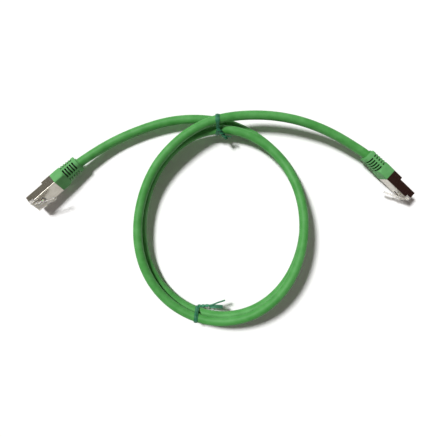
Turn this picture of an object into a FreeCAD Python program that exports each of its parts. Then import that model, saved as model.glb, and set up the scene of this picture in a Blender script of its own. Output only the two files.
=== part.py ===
import FreeCAD, Part

import math
import os

from FreeCAD import Placement, Rotation, Vector

# A shielded ethernet patch cable, about one metre long, wound in nearly two turns
# and held by two twist ties. Millimetres and degrees, +Z up, standing on z = 0.
# The origin is the middle of the whole object, seen from above.

# The cable's section, from the outside in
CABLE_DIAMETER = 6.2
JACKET_WALL = 0.55
LAYER_GAP = 0.1
SCREEN_WALL = 0.25
# A pair's diameter as a share of the core's radius
PAIR_SHARE = 0.75
# The play between a pair's two wires and the space that they share
WIRE_PLAY = 0.025

# The wound loop: its middle, its mean radius and how it drifts outward each turn
LOOP_X = -0.5
LOOP_Y = -4.7
LOOP_RADIUS = 58.8
LOOP_DRIFT = 1.0
# Waves of the radius: height, waves per turn and the direction of the first crest
LOOP_OVAL = [(4.7, 2.0, 83.9), (0.9, 0.5, 112.6), (0.75, 1.5, 18.3), (0.2, 3.0, 85.8)]
# The lower turn's mean height, and the waves along it that lift it off the surface
LOOP_HEIGHT = 7.9
LOOP_LIFT = [(2.7, 1, -10.0), (3.8, 2, -35.0), (1.0, 3, -16.0), (1.6, 4, 18.0)]
# The winding starts at this bearing and runs clockwise, seen from above
WINDING_START = 30.0
QUARTER_TURNS = 7
# Between these points of the winding the first turn climbs onto the strand that leads to its start
CLIMB_START = 243.0
CLIMB_END = 330.0
# A turn's axis lies a diameter and this gap from the axis of the turn below
TURN_GAP = 0.75
# The last turn ends nearly level, in the direction in which it crosses the strands below it
LAST_HEADING = (0.76, 0.65, 0.06)

# Where the turns meet the free stretches: a straight end, and the run beyond it
STRAIGHT_END = CABLE_DIAMETER
JUNCTION_RUN = 9.0
# A bend takes this share of the shorter of its two runs
BEND_SHARE = 0.45
# The cable leaves a boot straight for this long
BOOT_EXIT_RUN = 2.3

# The free stretches, as the corners of their routes between plug and loop
LEFT_ROUTE = [
    (-77.5, 51.6, 8.3),
    (-57.0, 61.0, 7.9),
    (-36.0, 67.2, 8.4),
    (-10.0, 68.4, 8.3),
    (11.7, 64.3, 6.0),
    (22.5, 60.4, 4.6),
    (32.2, 54.3, 3.8),
    (40.1, 46.0, 3.6),
]
RIGHT_ROUTE = [
    (-11.0, 63.6, 19.5),
    (2.0, 67.1, 18.5),
    (15.6, 68.9, 17.2),
    (35.0, 69.3, 17.7),
    (54.0, 65.2, 17.4),
    (74.5, 57.8, 14.7),
]

# The plug, in its own frame: x from the boot's joint to the nose, y across, z to the latch
PLUG_LENGTH = 21.5
PLUG_WIDTH = 11.7
LATCH_FACE = 3.3
CONTACT_FACE = -3.3
HEEL_FACE = -4.9
HEEL_LENGTH = 7.2
CABLE_AXIS_Z = (LATCH_FACE + HEEL_FACE) / 2

# How each plug lies: the joint's place, then yaw, nose-down pitch and roll
LEFT_PLUG_PLACE = (-112.2, 23.6, 10.8)
LEFT_PLUG_TURNS = (222.1, -4.2, -61.5)
RIGHT_PLUG_PLACE = (112.6, 29.1, 8.95)
RIGHT_PLUG_TURNS = (-41.3, 8.5, 90.0)

# The nickel shell, a folded sheet with a crimp barrel at its back
SHELL_SHEET = 0.3
SHELL_FOLD = 0.4
SHELL_NOSE_GAP = 0.4
SHELL_CORNER_LENGTH = 3.7
SHELL_CORNER_DEPTH = 2.2
SHELL_WINDOW_WIDTH = 8.2
SHELL_WINDOW_START = 12.0
SHELL_BELLY_END = 12.6
BODY_FIT = 0.1
BARREL_LENGTH = 7.6
BARREL_SHEET = 0.25

# The folded-back end of the braid, between jacket and barrel
JACKET_END = -3.0
COLLAR_LENGTH = 4.7
COLLAR_SHEET = 0.25
CRIMP_FIT = 0.05

# The clear body's inside
REAR_START = 0.5
CAVITY_END = 13.5
# The cavity's side lies this far beyond the row of wires
CAVITY_SIDE_GAP = 0.644
CAVITY_FLOOR = -2.4
CAVITY_ROOF = 2.2
HEEL_CAVITY_FLOOR = -3.9
HEEL_CAVITY_END = 6.2
WIRE_ROW_Z = 0.5
WIRE_NOSE_GAP = 1.0
WIRE_ROW_END = PLUG_LENGTH - WIRE_NOSE_GAP
WIRE_CHANNEL_FIT = 0.1
BODY_EDGE = 0.25

# How a pair crosses to its side of the row: spread out, over or under the rest, one wire after the other
CROSS_LEAVE = -2.0
CROSS_SPREAD = 0.25
CROSS_OVER_Z = 1.7
CROSS_UNDER_Z = -3.1
CROSS_START = 1.8
CROSS_END = 4.0
CROSS_DELAY = 0.9
ROW_START = 7.0
CROSSED_ROW_START = 7.8
# Places further than this from the row's middle are outer ones
OUTER_PLACE = 2.0

# The contacts
CONTACT_COUNT = 8
CONTACT_PITCH = 1.016
CONTACT_THICKNESS = 0.35
CONTACT_NOSE_GAP = 1.1
CONTACT_LENGTH = 5.0
CONTACT_FRONT = PLUG_LENGTH - CONTACT_NOSE_GAP
CONTACT_BACK = CONTACT_FRONT - CONTACT_LENGTH
CONTACT_FIT = 0.1
CONTACT_RECESS = 0.25
CONTACT_NOSE_RADIUS = 0.8

# The load bar that holds the wires in their row
BAR_START = 8.8
BAR_LENGTH = 4.4
BAR_FIT = 0.1
BAR_NOTCH_DEPTH = 1.0
BAR_NOTCH_WIDTH = 1.6

# The latch, from its rolled root at the nose to its free tip
LATCH_NOSE_GAP = 1.15
LATCH_ROOT_DEPTH = 0.95
LATCH_ROOT_X = PLUG_LENGTH - LATCH_NOSE_GAP
LATCH_ROOT_Z = LATCH_FACE - LATCH_ROOT_DEPTH
LATCH_ROOT_RADIUS = 1.1
LATCH_ROOT_FIT = 0.15
LATCH_RISE = 22.5
LATCH_LENGTH = 15.5
LATCH_THICKNESS = 1.0
LATCH_UNDERSIDE = 0.45
LATCH_SHOULDER_WIDTH = 6.2
LATCH_SHOULDER_LENGTH = 7.5
LATCH_LEVER_WIDTH = 3.2
LATCH_TIP_RADIUS = 1.2
LATCH_EDGE = 0.2

# The moulded boot: a square front block that rounds off into a slotted sleeve
BOOT_LENGTH = 20.0
# The boot's block stands proud of the shell all round, and its sleeve is narrower than the block
BOOT_STEP = 0.1
SLEEVE_STEP = 0.2
BOOT_WIDTH = PLUG_WIDTH + 2 * BOOT_STEP
BOOT_HEIGHT = LATCH_FACE - HEEL_FACE + 2 * BOOT_STEP
BOOT_SLEEVE_WIDTH = BOOT_WIDTH - 2 * SLEEVE_STEP
BOOT_BLOCK_LENGTH = 6.6
BOOT_ROUNDING_LENGTH = 1.7
BOOT_BLOCK_CORNER = 0.9
BOOT_SLEEVE_CORNER = 3.4
BOOT_EDGE = 0.4
BOOT_BORE_FIT = 0.4
BOOT_CAVITY_FIT = 0.1
BOOT_CAVITY_LENGTH = 8.0
BOOT_RIM_WALL = 0.5
BOOT_RIM_LENGTH = 0.5
SLOT_COUNT = 5
SLOT_FIRST = 8.9
SLOT_PITCH = 2.0
SLOT_WIDTH = 0.9
SLOT_RIB_WIDTH = 1.9
SLOT_CORE_WALL = 0.45

# The twist ties: a flat plastic ribbon with a wire in it, a twist and two tails
TIE_RIBBON_WIDTH = 2.4
TIE_RIBBON_THICKNESS = 0.6
TIE_WIRE_SIDE = 0.3
TIE_WIRE_FIT = 0.05
TIE_TWIST_RADIUS = 0.8
TIE_TAIL_THICKNESS = 0.4
BOTTOM_TIE_FIT = 0.4
TOP_TIE_FIT = 0.5
# The bottom tie's bearing on the loop, and the x at which the top tie crosses
BOTTOM_TIE_BEARING = -106.0
TOP_TIE_X = -2.4
# Each tie's neck starts on its band, on this side of the strand that it faces, and ends in two tails
BOTTOM_NECK_SIDE = (0.25, 0.9, 0.35)
BOTTOM_NECK_END = (-9.4, -57.6, 9.4)
BOTTOM_TAIL_TIPS = [(2.1, -55.9, 11.8), (0.6, -60.0, 12.4)]
TOP_NECK_SIDE = (0.1, -1.0, -0.1)
TOP_NECK_END = (2.6, 52.8, 12.8)
TOP_TAIL_TIPS = [(7.4, 52.6, 13.2), (3.6, 47.9, 12.2)]

# How closely points are set along a route when gaps are measured
SAMPLE_STEP = 0.8
# Two stretches this far apart along the cable are no longer next to each other
NEXT_TO = 60.0
# How far a cutting shape reaches beyond what it cuts
BEYOND = 1.0
# Numbers nearer than this are the same
SAME = 0.01

CABLE_RADIUS = CABLE_DIAMETER / 2
BORE_RADIUS = CABLE_RADIUS - JACKET_WALL
SCREEN_RADIUS = BORE_RADIUS - LAYER_GAP
CORE_RADIUS = SCREEN_RADIUS - SCREEN_WALL
PAIR_RADIUS = PAIR_SHARE * CORE_RADIUS / 2
PAIR_OFFSET = CORE_RADIUS - LAYER_GAP - PAIR_RADIUS
WIRE_RADIUS = (PAIR_RADIUS - WIRE_PLAY) / 2
COLLAR_RADIUS = CABLE_RADIUS + CRIMP_FIT + COLLAR_SHEET
BARREL_BORE = COLLAR_RADIUS + CRIMP_FIT
BARREL_RADIUS = BARREL_BORE + BARREL_SHEET

# The pairs' bearings round the cable's axis in the left plug
PAIR_BEARINGS = {"orange": 165.0, "blue": 75.0, "green": 255.0, "brown": -15.0}
# The places of each pair's two wires in the row, in pitches from its middle
ROW_PLACES = {"orange": (-3.5, -2.5), "blue": (-0.5, 0.5), "green": (-1.5, 1.5), "brown": (2.5, 3.5)}

FORWARD = Vector(1, 0, 0)
ACROSS = Vector(0, 1, 0)
UPWARD = Vector(0, 0, 1)


def plug_placement(place, turns):
    """Where a plug's own frame lies: its nose turned by yaw, lowered by pitch, then rolled."""
    yaw, pitch, roll = turns
    heading = Rotation(UPWARD, yaw)
    tilt = Rotation(ACROSS, pitch)
    lean = Rotation(FORWARD, roll)
    return Placement(Vector(*place), heading.multiply(tilt).multiply(lean))


def box(low, high):
    """A box between two corners."""
    sides = [high[k] - low[k] for k in range(3)]
    return Part.makeBox(sides[0], sides[1], sides[2], Vector(*low))


def cylinder_x(radius, x_from, x_to, y=0.0, z=0.0):
    """A cylinder along x."""
    return Part.makeCylinder(radius, x_to - x_from, Vector(x_from, y, z), FORWARD)


def lengthwise_edges(solid, direction):
    """The straight edges that run along one direction."""
    return [e for e in solid.Edges
            if isinstance(e.Curve, Part.Line) and abs(e.tangentAt(e.FirstParameter).dot(direction)) > 0.999]


# Routes. A route is its start, its end and its bends, each bend a (start, corner, end) triple


def bend_edge(bend):
    """The arc that leaves along start-corner and arrives along corner-end."""
    start, corner, end = bend
    chord_middle = (start + end) / 2
    to_middle = chord_middle - corner
    leg = (corner - start).Length
    half_turn = math.asin(min(1.0, to_middle.Length / leg))
    radius = leg / math.tan(half_turn)
    sagitta = radius * (1 / math.cos(half_turn) - 1)
    return Part.Arc(start, corner + to_middle.normalize() * sagitta, end).toShape()


def bend_radius(bend):
    """The radius of a bend's arc."""
    start, corner, end = bend
    leg = (corner - start).Length
    half_turn = (corner - start).getAngle(end - corner) / 2
    return leg / math.tan(half_turn)


def cornered_route(points):
    """Straight runs with the largest arcs that BEND_SHARE allows at the corners between them."""
    bends = []
    for before, corner, after in zip(points, points[1:], points[2:]):
        back = before - corner
        ahead = after - corner
        leg = BEND_SHARE * min(back.Length, ahead.Length)
        bends.append((corner + back.normalize() * leg, corner, corner + ahead.normalize() * leg))
    return points[0], bends, points[-1]


def route_wire(route):
    """The route as one wire of straight runs and tangent arcs."""
    start, bends, end = route
    edges = []
    here = start
    for bend in bends:
        if here.distanceToPoint(bend[0]) > 1e-4:
            edges.append(Part.LineSegment(here, bend[0]).toShape())
        edges.append(bend_edge(bend))
        here = bend[2]
    if here.distanceToPoint(end) > 1e-4:
        edges.append(Part.LineSegment(here, end).toShape())
    return Part.Wire(edges)


def carried_along(route, direction):
    """A direction square to the route's start, carried to its end without twist."""
    for start, corner, end in route[1]:
        direction = Rotation(corner - start, end - corner).multVec(direction)
    return direction


def route_heading(route, at_end=False):
    """The route's direction at its start or its end."""
    start, bends, end = route
    heading = end - bends[-1][1] if at_end else bends[0][1] - start
    return heading.normalize()


def route_points(route):
    """Points along the route, SAMPLE_STEP apart."""
    wire = route_wire(route)
    return wire.discretize(Number=int(wire.Length / SAMPLE_STEP) + 1)


def least_gap(points, others):
    """The least gap between two stretches of cable, from their points."""
    return min(p.distanceToPoint(q) for p in points for q in others) - CABLE_DIAMETER


def least_gap_to_itself(points, apart):
    """The least gap between stretches that lie some length apart along one route."""
    skip = int(apart / SAMPLE_STEP)
    gaps = [p.distanceToPoint(q) for i, p in enumerate(points) for q in points[i + skip:]]
    return min(gaps) - CABLE_DIAMETER


# The wound loop


def smooth_rise(share):
    """0 to 1 with a level start and end."""
    share = min(1.0, max(0.0, share))
    return share * share * (3 - 2 * share)


def loop_radius(wound):
    """The loop's radius after so many degrees of winding: a mean, a drift and four waves."""
    bearing = WINDING_START - wound
    radius = LOOP_RADIUS + LOOP_DRIFT * wound / 360
    for height, waves, crest in LOOP_OVAL:
        radius += height * math.cos(math.radians(waves * (bearing - crest)))
    return radius


def stack_height(wound):
    """How far a turn's axis lies above the turn before it."""
    side_step = loop_radius(wound) - loop_radius(wound - 360)
    return math.sqrt((CABLE_DIAMETER + TURN_GAP) ** 2 - side_step ** 2)


def loop_height(wound):
    """The height of the loop's axis: waves along the first turn, and the rest lies on it."""
    if wound > 360:
        return loop_height(wound - 360) + stack_height(wound)
    bearing = WINDING_START - wound
    height = LOOP_HEIGHT
    for lift, waves, crest in LOOP_LIFT:
        height += lift * math.cos(math.radians(waves * (bearing - crest)))
    climb = smooth_rise((wound - CLIMB_START) / (CLIMB_END - CLIMB_START))
    return height + climb * stack_height(360)


def loop_point(wound):
    """A point of the loop's axis."""
    bearing = math.radians(WINDING_START - wound)
    radius = loop_radius(wound)
    return Vector(LOOP_X + radius * math.cos(bearing),
                  LOOP_Y + radius * math.sin(bearing),
                  loop_height(wound))


def loop_heading(wound, step=1.0):
    """The loop's direction, from the points just before and after."""
    return (loop_point(wound + step) - loop_point(wound - step)).normalize()


def biarc(start, start_heading, end, end_heading):
    """Two bends of equal legs that join two points and their headings."""
    across = end - start
    both = start_heading + end_heading
    spread = 2 * (1 - start_heading.dot(end_heading))
    reach = across.dot(both)
    leg = (math.sqrt(reach ** 2 + spread * across.dot(across)) - reach) / spread
    first = start + start_heading * leg
    second = end - end_heading * leg
    middle = (first + second) / 2
    return [(start, first, middle), (middle, second, end)]


def coil_route():
    """The loop's turns, a biarc for each quarter turn, with a straight end at either side."""
    nodes = [loop_point(90.0 * k) for k in range(QUARTER_TURNS + 1)]
    headings = [loop_heading(90.0 * k) for k in range(QUARTER_TURNS)]
    headings.append(Vector(*LAST_HEADING).normalize())
    bends = []
    for k in range(QUARTER_TURNS):
        bends += biarc(nodes[k], headings[k], nodes[k + 1], headings[k + 1])
    start = nodes[0] - headings[0] * STRAIGHT_END
    end = nodes[-1] + headings[-1] * STRAIGHT_END
    return start, bends, end


def exit_points(placement):
    """The cable's end in the plug, and the corner just behind the boot."""
    exit_x = -(BOOT_LENGTH + BOOT_RIM_LENGTH + BOOT_EXIT_RUN)
    return [placement.multVec(Vector(x, 0, CABLE_AXIS_Z)) for x in (JACKET_END, exit_x)]


def left_route(placement, coil):
    """From the left plug to the start of the turns."""
    corners = exit_points(placement) + [Vector(*p) for p in LEFT_ROUTE]
    corners.append(coil[0] - route_heading(coil) * JUNCTION_RUN)
    corners.append(coil[0])
    return cornered_route(corners)


def right_route(placement, coil):
    """From the end of the turns to the right plug."""
    corners = [coil[2], coil[2] + route_heading(coil, at_end=True) * JUNCTION_RUN]
    corners += [Vector(*p) for p in RIGHT_ROUTE]
    corners += reversed(exit_points(placement))
    return cornered_route(corners)


# The cable's layers


def rod_along(route, radius, offset=None):
    """A round rod along a route, or along its offset from the route's start."""
    centre = route[0] + offset if offset else route[0]
    section = Part.Wire(Part.Circle(centre, route_heading(route), radius).toShape())
    return route_wire(route).makePipeShell([section], True, False)


def tube_along(route, outer, inner):
    """A round tube along a route."""
    return rod_along(route, outer).cut(rod_along(route, inner))


def pair_offsets(placement, routes):
    """Each pair's offset from the axis at the start of each stretch and at the end, carried without twist."""
    offsets = {}
    for colour, bearing in PAIR_BEARINGS.items():
        angle = math.radians(bearing)
        local = Vector(0, math.cos(angle), math.sin(angle)) * PAIR_OFFSET
        offset = placement.Rotation.multVec(local)
        offsets[colour] = [offset]
        for route in routes:
            offset = carried_along(route, offset)
            offsets[colour].append(offset)
    return offsets


# The plug's pieces, each in the plug's own frame


def shell_outline(inset, nose_x):
    """The shell's outer block, or the same block set in on every side."""
    half = PLUG_WIDTH / 2 - inset
    heel = box((inset, -half, HEEL_FACE + inset), (HEEL_LENGTH - inset, half, LATCH_FACE - inset))
    front = box((inset, -half, CONTACT_FACE + inset), (nose_x, half, LATCH_FACE - inset))
    return heel.fuse(front).removeSplitter()


def make_shield_shell():
    """The folded nickel shell, open at the nose, with a window round the latch and a crimp barrel."""
    half = PLUG_WIDTH / 2
    front = PLUG_LENGTH + BEYOND
    roof = LATCH_FACE + BEYOND
    outer = shell_outline(0.0, PLUG_LENGTH - SHELL_NOSE_GAP)
    outer = outer.makeFillet(SHELL_FOLD, lengthwise_edges(outer, FORWARD))
    shell = outer.cut(shell_outline(SHELL_SHEET, PLUG_LENGTH))
    belly_half = half - SHELL_SHEET
    belly = box((SHELL_BELLY_END, -belly_half, CONTACT_FACE - BEYOND),
                (front, belly_half, CONTACT_FACE + SHELL_SHEET))
    corners = box((PLUG_LENGTH - SHELL_CORNER_LENGTH, -half - BEYOND, LATCH_FACE - SHELL_CORNER_DEPTH),
                  (front, half + BEYOND, roof))
    window_radius = SHELL_WINDOW_WIDTH / 2
    window_middle = SHELL_WINDOW_START + window_radius
    window = box((window_middle, -window_radius, 0), (front, window_radius, roof))
    window_end = Part.makeCylinder(window_radius, roof, Vector(window_middle, 0, 0))
    shell = shell.cut(belly).cut(corners).cut(window).cut(window_end)
    barrel = cylinder_x(BARREL_RADIUS, -BARREL_LENGTH, SHELL_SHEET, z=CABLE_AXIS_Z)
    barrel_bore = cylinder_x(BARREL_BORE, -BARREL_LENGTH, SHELL_SHEET, z=CABLE_AXIS_Z)
    return shell.fuse(barrel).cut(barrel_bore).removeSplitter()


def body_block():
    """The clear body's outside: it fills the shell, its nose and crest flush with the shell's faces."""
    inset = SHELL_SHEET + BODY_FIT
    half = PLUG_WIDTH / 2 - inset
    roof = LATCH_FACE - inset
    heel = box((REAR_START, -half, HEEL_FACE + inset), (HEEL_LENGTH - inset, half, roof))
    middle = box((REAR_START, -half, CONTACT_FACE + inset), (PLUG_LENGTH, half, roof))
    nose = box((SHELL_BELLY_END + BODY_FIT, -half, CONTACT_FACE), (PLUG_LENGTH, half, roof))
    crest = box((PLUG_LENGTH - SHELL_CORNER_LENGTH + BODY_FIT, -half, 0), (PLUG_LENGTH, half, LATCH_FACE))
    block = heel.fuse([middle, nose, crest]).removeSplitter()
    edges = lengthwise_edges(block, ACROSS) + lengthwise_edges(block, UPWARD)
    return block.makeFillet(BODY_EDGE, [e for e in edges if e.BoundBox.XMin > PLUG_LENGTH - SAME])


def make_plug_body():
    """The clear body, with a cavity for the load bar, a channel for the wires and slots for the contacts."""
    cavity_half = cavity_half_width()
    cavity = box((REAR_START, -cavity_half, CAVITY_FLOOR), (CAVITY_END, cavity_half, CAVITY_ROOF))
    heel_cavity = box((REAR_START, -cavity_half, HEEL_CAVITY_FLOOR),
                      (HEEL_CAVITY_END, cavity_half, CAVITY_ROOF))
    channel_half = wire_row_half_width() + WIRE_CHANNEL_FIT
    channel_reach = WIRE_RADIUS + WIRE_CHANNEL_FIT
    channel = box((CAVITY_END, -channel_half, WIRE_ROW_Z - channel_reach),
                  (WIRE_ROW_END + WIRE_CHANNEL_FIT, channel_half, WIRE_ROW_Z + channel_reach))
    body = body_block().cut(cavity).cut(heel_cavity).cut(channel)
    slot_half = CONTACT_THICKNESS / 2 + CONTACT_FIT
    for y in contact_rows():
        slot = box((CONTACT_BACK - CONTACT_FIT, y - slot_half, CONTACT_FACE - BEYOND),
                   (CONTACT_FRONT + CONTACT_FIT, y + slot_half, WIRE_ROW_Z))
        body = body.cut(slot)
    return body.cut(latch_pocket())


def latch_pocket():
    """The hollow in which the latch's root turns, open to the nose, with room behind it for the shoulder."""
    half = LATCH_SHOULDER_WIDTH / 2 + LATCH_ROOT_FIT
    radius = LATCH_ROOT_RADIUS + LATCH_ROOT_FIT
    roof = LATCH_FACE + BEYOND
    hollow = Part.makeCylinder(radius, 2 * half, Vector(LATCH_ROOT_X, -half, LATCH_ROOT_Z), ACROSS)
    opening = box((LATCH_ROOT_X, -half, LATCH_ROOT_Z - radius), (PLUG_LENGTH + BEYOND, half, roof))
    crest_start = PLUG_LENGTH - SHELL_CORNER_LENGTH - BEYOND
    shoulder_room = box((crest_start, -half, LATCH_ROOT_Z + LATCH_UNDERSIDE - LATCH_ROOT_FIT),
                        (LATCH_ROOT_X, half, roof))
    return hollow.fuse([opening, shoulder_room])


def contact_rows():
    """The y of each contact and wire."""
    return [CONTACT_PITCH * (k - (CONTACT_COUNT - 1) / 2) for k in range(CONTACT_COUNT)]


def wire_row_half_width():
    """Half the width of the row of wires."""
    return CONTACT_PITCH * (CONTACT_COUNT - 1) / 2 + WIRE_RADIUS


def cavity_half_width():
    """Half the width of the body's cavity."""
    return wire_row_half_width() + CAVITY_SIDE_GAP


def make_contacts():
    """Eight gold-plated blades, each with a rounded lower front corner and two tips at its wire."""
    top = WIRE_ROW_Z - WIRE_RADIUS - LAYER_GAP
    bottom = CONTACT_FACE + CONTACT_RECESS
    blades = []
    for y in contact_rows():
        half = CONTACT_THICKNESS / 2
        blade = box((CONTACT_BACK, y - half, bottom), (CONTACT_FRONT, y + half, top))
        lower = [e for e in lengthwise_edges(blade, ACROSS) if e.BoundBox.ZMax < bottom + SAME]
        blade = blade.makeFillet(CONTACT_NOSE_RADIUS, lower)
        middle = (CONTACT_BACK + CONTACT_FRONT) / 2
        notch = Part.makeCylinder(CONTACT_NOSE_RADIUS, 2 * half, Vector(middle, y - half, top), ACROSS)
        blades.append(blade.cut(notch))
    return Part.makeCompound(blades)


def make_load_bar():
    """The bar that keeps the wires in a row, with a notch at each side of its front."""
    half = cavity_half_width() - BAR_FIT
    bar_end = BAR_START + BAR_LENGTH
    bar = box((BAR_START, -half, CAVITY_FLOOR + BAR_FIT), (bar_end, half, CAVITY_ROOF - BAR_FIT))
    slot_half = wire_row_half_width() + WIRE_CHANNEL_FIT
    slot_reach = WIRE_RADIUS + WIRE_CHANNEL_FIT
    slot = box((BAR_START, -slot_half, WIRE_ROW_Z - slot_reach),
               (bar_end, slot_half, WIRE_ROW_Z + slot_reach))
    bar = bar.cut(slot)
    for side in (-1, 1):
        inner = side * (half - BAR_NOTCH_DEPTH / 2)
        outer = side * (half + BEYOND)
        notch = box((bar_end - BAR_NOTCH_WIDTH, min(inner, outer), CAVITY_FLOOR),
                    (bar_end + BEYOND, max(inner, outer), CAVITY_FLOOR + BAR_NOTCH_WIDTH))
        bar = bar.cut(notch)
    return bar


def wire_end_points(centre, side, place):
    """The corners of one wire's route, on one side of its pair, to its place in the row."""
    start_y = centre.y + side * PAIR_RADIUS / 2
    row_y = place * CONTACT_PITCH
    crosses = abs(place) > OUTER_PLACE and centre.y * place < 0
    points = [Vector(JACKET_END, start_y, centre.z)]
    points.append(Vector(CROSS_LEAVE if crosses else REAR_START, start_y, centre.z))
    if crosses:
        level = CROSS_OVER_Z if centre.z > CABLE_AXIS_Z else CROSS_UNDER_Z
        delay = CROSS_DELAY if side * centre.y > 0 else 0.0
        spread = math.copysign(CROSS_SPREAD, centre.y)
        points.append(Vector(CROSS_START + delay, start_y + spread, level))
        points.append(Vector(CROSS_END + delay, row_y, level))
    points.append(Vector(CROSSED_ROW_START if crosses else ROW_START, row_y, WIRE_ROW_Z))
    points.append(Vector(WIRE_ROW_END, row_y, WIRE_ROW_Z))
    return points


def make_wire_ends(pair_places):
    """Eight insulated wires, from the pairs' ends at the jacket's end to the contacts' row."""
    wires = []
    for colour, places in ROW_PLACES.items():
        for side, place in zip((-1, 1), places):
            points = wire_end_points(pair_places[colour], side, place)
            wires.append(rod_along(cornered_route(points), WIRE_RADIUS))
    return Part.makeCompound(wires)


def make_braid_collar():
    """The screen's end, folded back over the jacket: a sleeve with a turned-in front."""
    outer = cylinder_x(COLLAR_RADIUS, JACKET_END - COLLAR_LENGTH + COLLAR_SHEET, JACKET_END + COLLAR_SHEET,
                       z=CABLE_AXIS_Z)
    jacket_bore = CABLE_RADIUS + CRIMP_FIT
    jacket_space = cylinder_x(jacket_bore, JACKET_END - COLLAR_LENGTH, JACKET_END, z=CABLE_AXIS_Z)
    core_space = cylinder_x(CORE_RADIUS, JACKET_END, JACKET_END + COLLAR_SHEET, z=CABLE_AXIS_Z)
    return outer.cut(jacket_space).cut(core_space)


def make_latch():
    """The latch: a rolled root, a wide shoulder and a narrow lever, rising towards the cable."""
    root_half = LATCH_SHOULDER_WIDTH / 2
    root = Part.makeCylinder(LATCH_ROOT_RADIUS, 2 * root_half, Vector(0, -root_half, 0), ACROSS)
    top = LATCH_UNDERSIDE + LATCH_THICKNESS
    shoulder = box((-LATCH_SHOULDER_LENGTH, -root_half, LATCH_UNDERSIDE), (0, root_half, top))
    lever_half = LATCH_LEVER_WIDTH / 2
    lever = box((-LATCH_LENGTH, -lever_half, LATCH_UNDERSIDE), (0, lever_half, top))
    tip_edges = [e for e in lengthwise_edges(lever, UPWARD) if e.BoundBox.XMax < -LATCH_LENGTH + SAME]
    lever = lever.makeFillet(LATCH_TIP_RADIUS, tip_edges)
    shoulder_edges = [e for e in lengthwise_edges(shoulder, UPWARD) if e.BoundBox.XMax < -SAME]
    shoulder = shoulder.makeFillet(LATCH_EDGE, shoulder_edges)
    latch = root.fuse([shoulder, lever]).removeSplitter()
    rise = Rotation(ACROSS, LATCH_RISE)
    return latch.transformed(Placement(Vector(LATCH_ROOT_X, 0, LATCH_ROOT_Z), rise).toMatrix())


# The boot


def rounded_section(x, width, height, corner):
    """A rounded rectangle square to the plug's axis."""
    half_w = width / 2 - corner
    half_h = height / 2 - corner
    edges = []
    for quarter, (side_y, side_z) in enumerate([(1, 1), (-1, 1), (-1, -1), (1, -1)]):
        centre = Vector(x, side_y * half_w, CABLE_AXIS_Z + side_z * half_h)
        spokes = []
        for eighth in range(3):
            angle = math.radians(90 * quarter + 45 * eighth)
            spokes.append(centre + Vector(0, math.cos(angle), math.sin(angle)) * corner)
        if edges:
            edges.append(Part.LineSegment(edges[-1].Vertexes[-1].Point, spokes[0]).toShape())
        edges.append(Part.Arc(*spokes).toShape())
    edges.append(Part.LineSegment(edges[-1].Vertexes[-1].Point, edges[0].Vertexes[0].Point).toShape())
    return Part.Wire(edges)


def slot_ring(x):
    """The four slots of one ring: a slice outside the core, less the ribs at the middle of each face."""
    reach = BOOT_WIDTH
    low = (x - SLOT_WIDTH / 2, -reach, CABLE_AXIS_Z - reach)
    high = (x + SLOT_WIDTH / 2, reach, CABLE_AXIS_Z + reach)
    half_rib = SLOT_RIB_WIDTH / 2
    core = cylinder_x(boot_bore_radius() + SLOT_CORE_WALL, low[0], high[0], z=CABLE_AXIS_Z)
    level_ribs = box((low[0], low[1], CABLE_AXIS_Z - half_rib), (high[0], high[1], CABLE_AXIS_Z + half_rib))
    upright_ribs = box((low[0], -half_rib, low[2]), (high[0], half_rib, high[2]))
    return box(low, high).cut(core).cut(level_ribs).cut(upright_ribs)


def boot_bore_radius():
    """The bore through which the cable leaves the boot."""
    return CABLE_RADIUS + BOOT_BORE_FIT


def make_boot():
    """The boot: a lofted block and sleeve, a bore for the cable, a space for the barrel, and the slots."""
    block = (BOOT_WIDTH, BOOT_HEIGHT, BOOT_BLOCK_CORNER)
    sleeve = (BOOT_SLEEVE_WIDTH, BOOT_HEIGHT, BOOT_SLEEVE_CORNER)
    sections = [
        rounded_section(0, BOOT_WIDTH - BOOT_EDGE, BOOT_HEIGHT - BOOT_EDGE,
                        BOOT_BLOCK_CORNER - BOOT_EDGE / 2),
        rounded_section(-BOOT_EDGE / 2, *block),
        rounded_section(-BOOT_BLOCK_LENGTH, *block),
        rounded_section(-BOOT_BLOCK_LENGTH - BOOT_ROUNDING_LENGTH, *sleeve),
        rounded_section(-BOOT_LENGTH + BOOT_EDGE, *sleeve),
        rounded_section(-BOOT_LENGTH, BOOT_SLEEVE_WIDTH - 2 * BOOT_EDGE, BOOT_HEIGHT - 2 * BOOT_EDGE,
                        BOOT_SLEEVE_CORNER - BOOT_EDGE),
    ]
    rim_end = -BOOT_LENGTH - BOOT_RIM_LENGTH
    bore = boot_bore_radius()
    rim = cylinder_x(bore + BOOT_RIM_WALL, rim_end, -BOOT_LENGTH + BOOT_EDGE, z=CABLE_AXIS_Z)
    boot = Part.makeLoft(sections, True, True).fuse(rim)
    boot = boot.cut(cylinder_x(bore, rim_end, 0, z=CABLE_AXIS_Z))
    boot = boot.cut(cylinder_x(BARREL_RADIUS + BOOT_CAVITY_FIT, -BOOT_CAVITY_LENGTH, 0, z=CABLE_AXIS_Z))
    for k in range(SLOT_COUNT):
        boot = boot.cut(slot_ring(-SLOT_FIRST - SLOT_PITCH * k))
    return boot


# The twist ties


def crossings(points, plane_point, normal, toward):
    """Where a stretch crosses a plane, on the side of the plane's point that toward names."""
    found = []
    for p, q in zip(points, points[1:]):
        before = (p - plane_point).dot(normal)
        after = (q - plane_point).dot(normal)
        if before * after <= 0 and (p - plane_point).dot(toward) > 0:
            found.append(p + (q - p) * (before / (before - after)))
    return found


def in_order_round(centres, normal):
    """Strand centres in order round their middle, seen against the normal."""
    middle = sum(centres, Vector()) / len(centres)
    first = (centres[0] - middle).normalize()
    second = normal.cross(first)
    return sorted(centres, key=lambda c: math.atan2((c - middle).dot(second), (c - middle).dot(first)))


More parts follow.
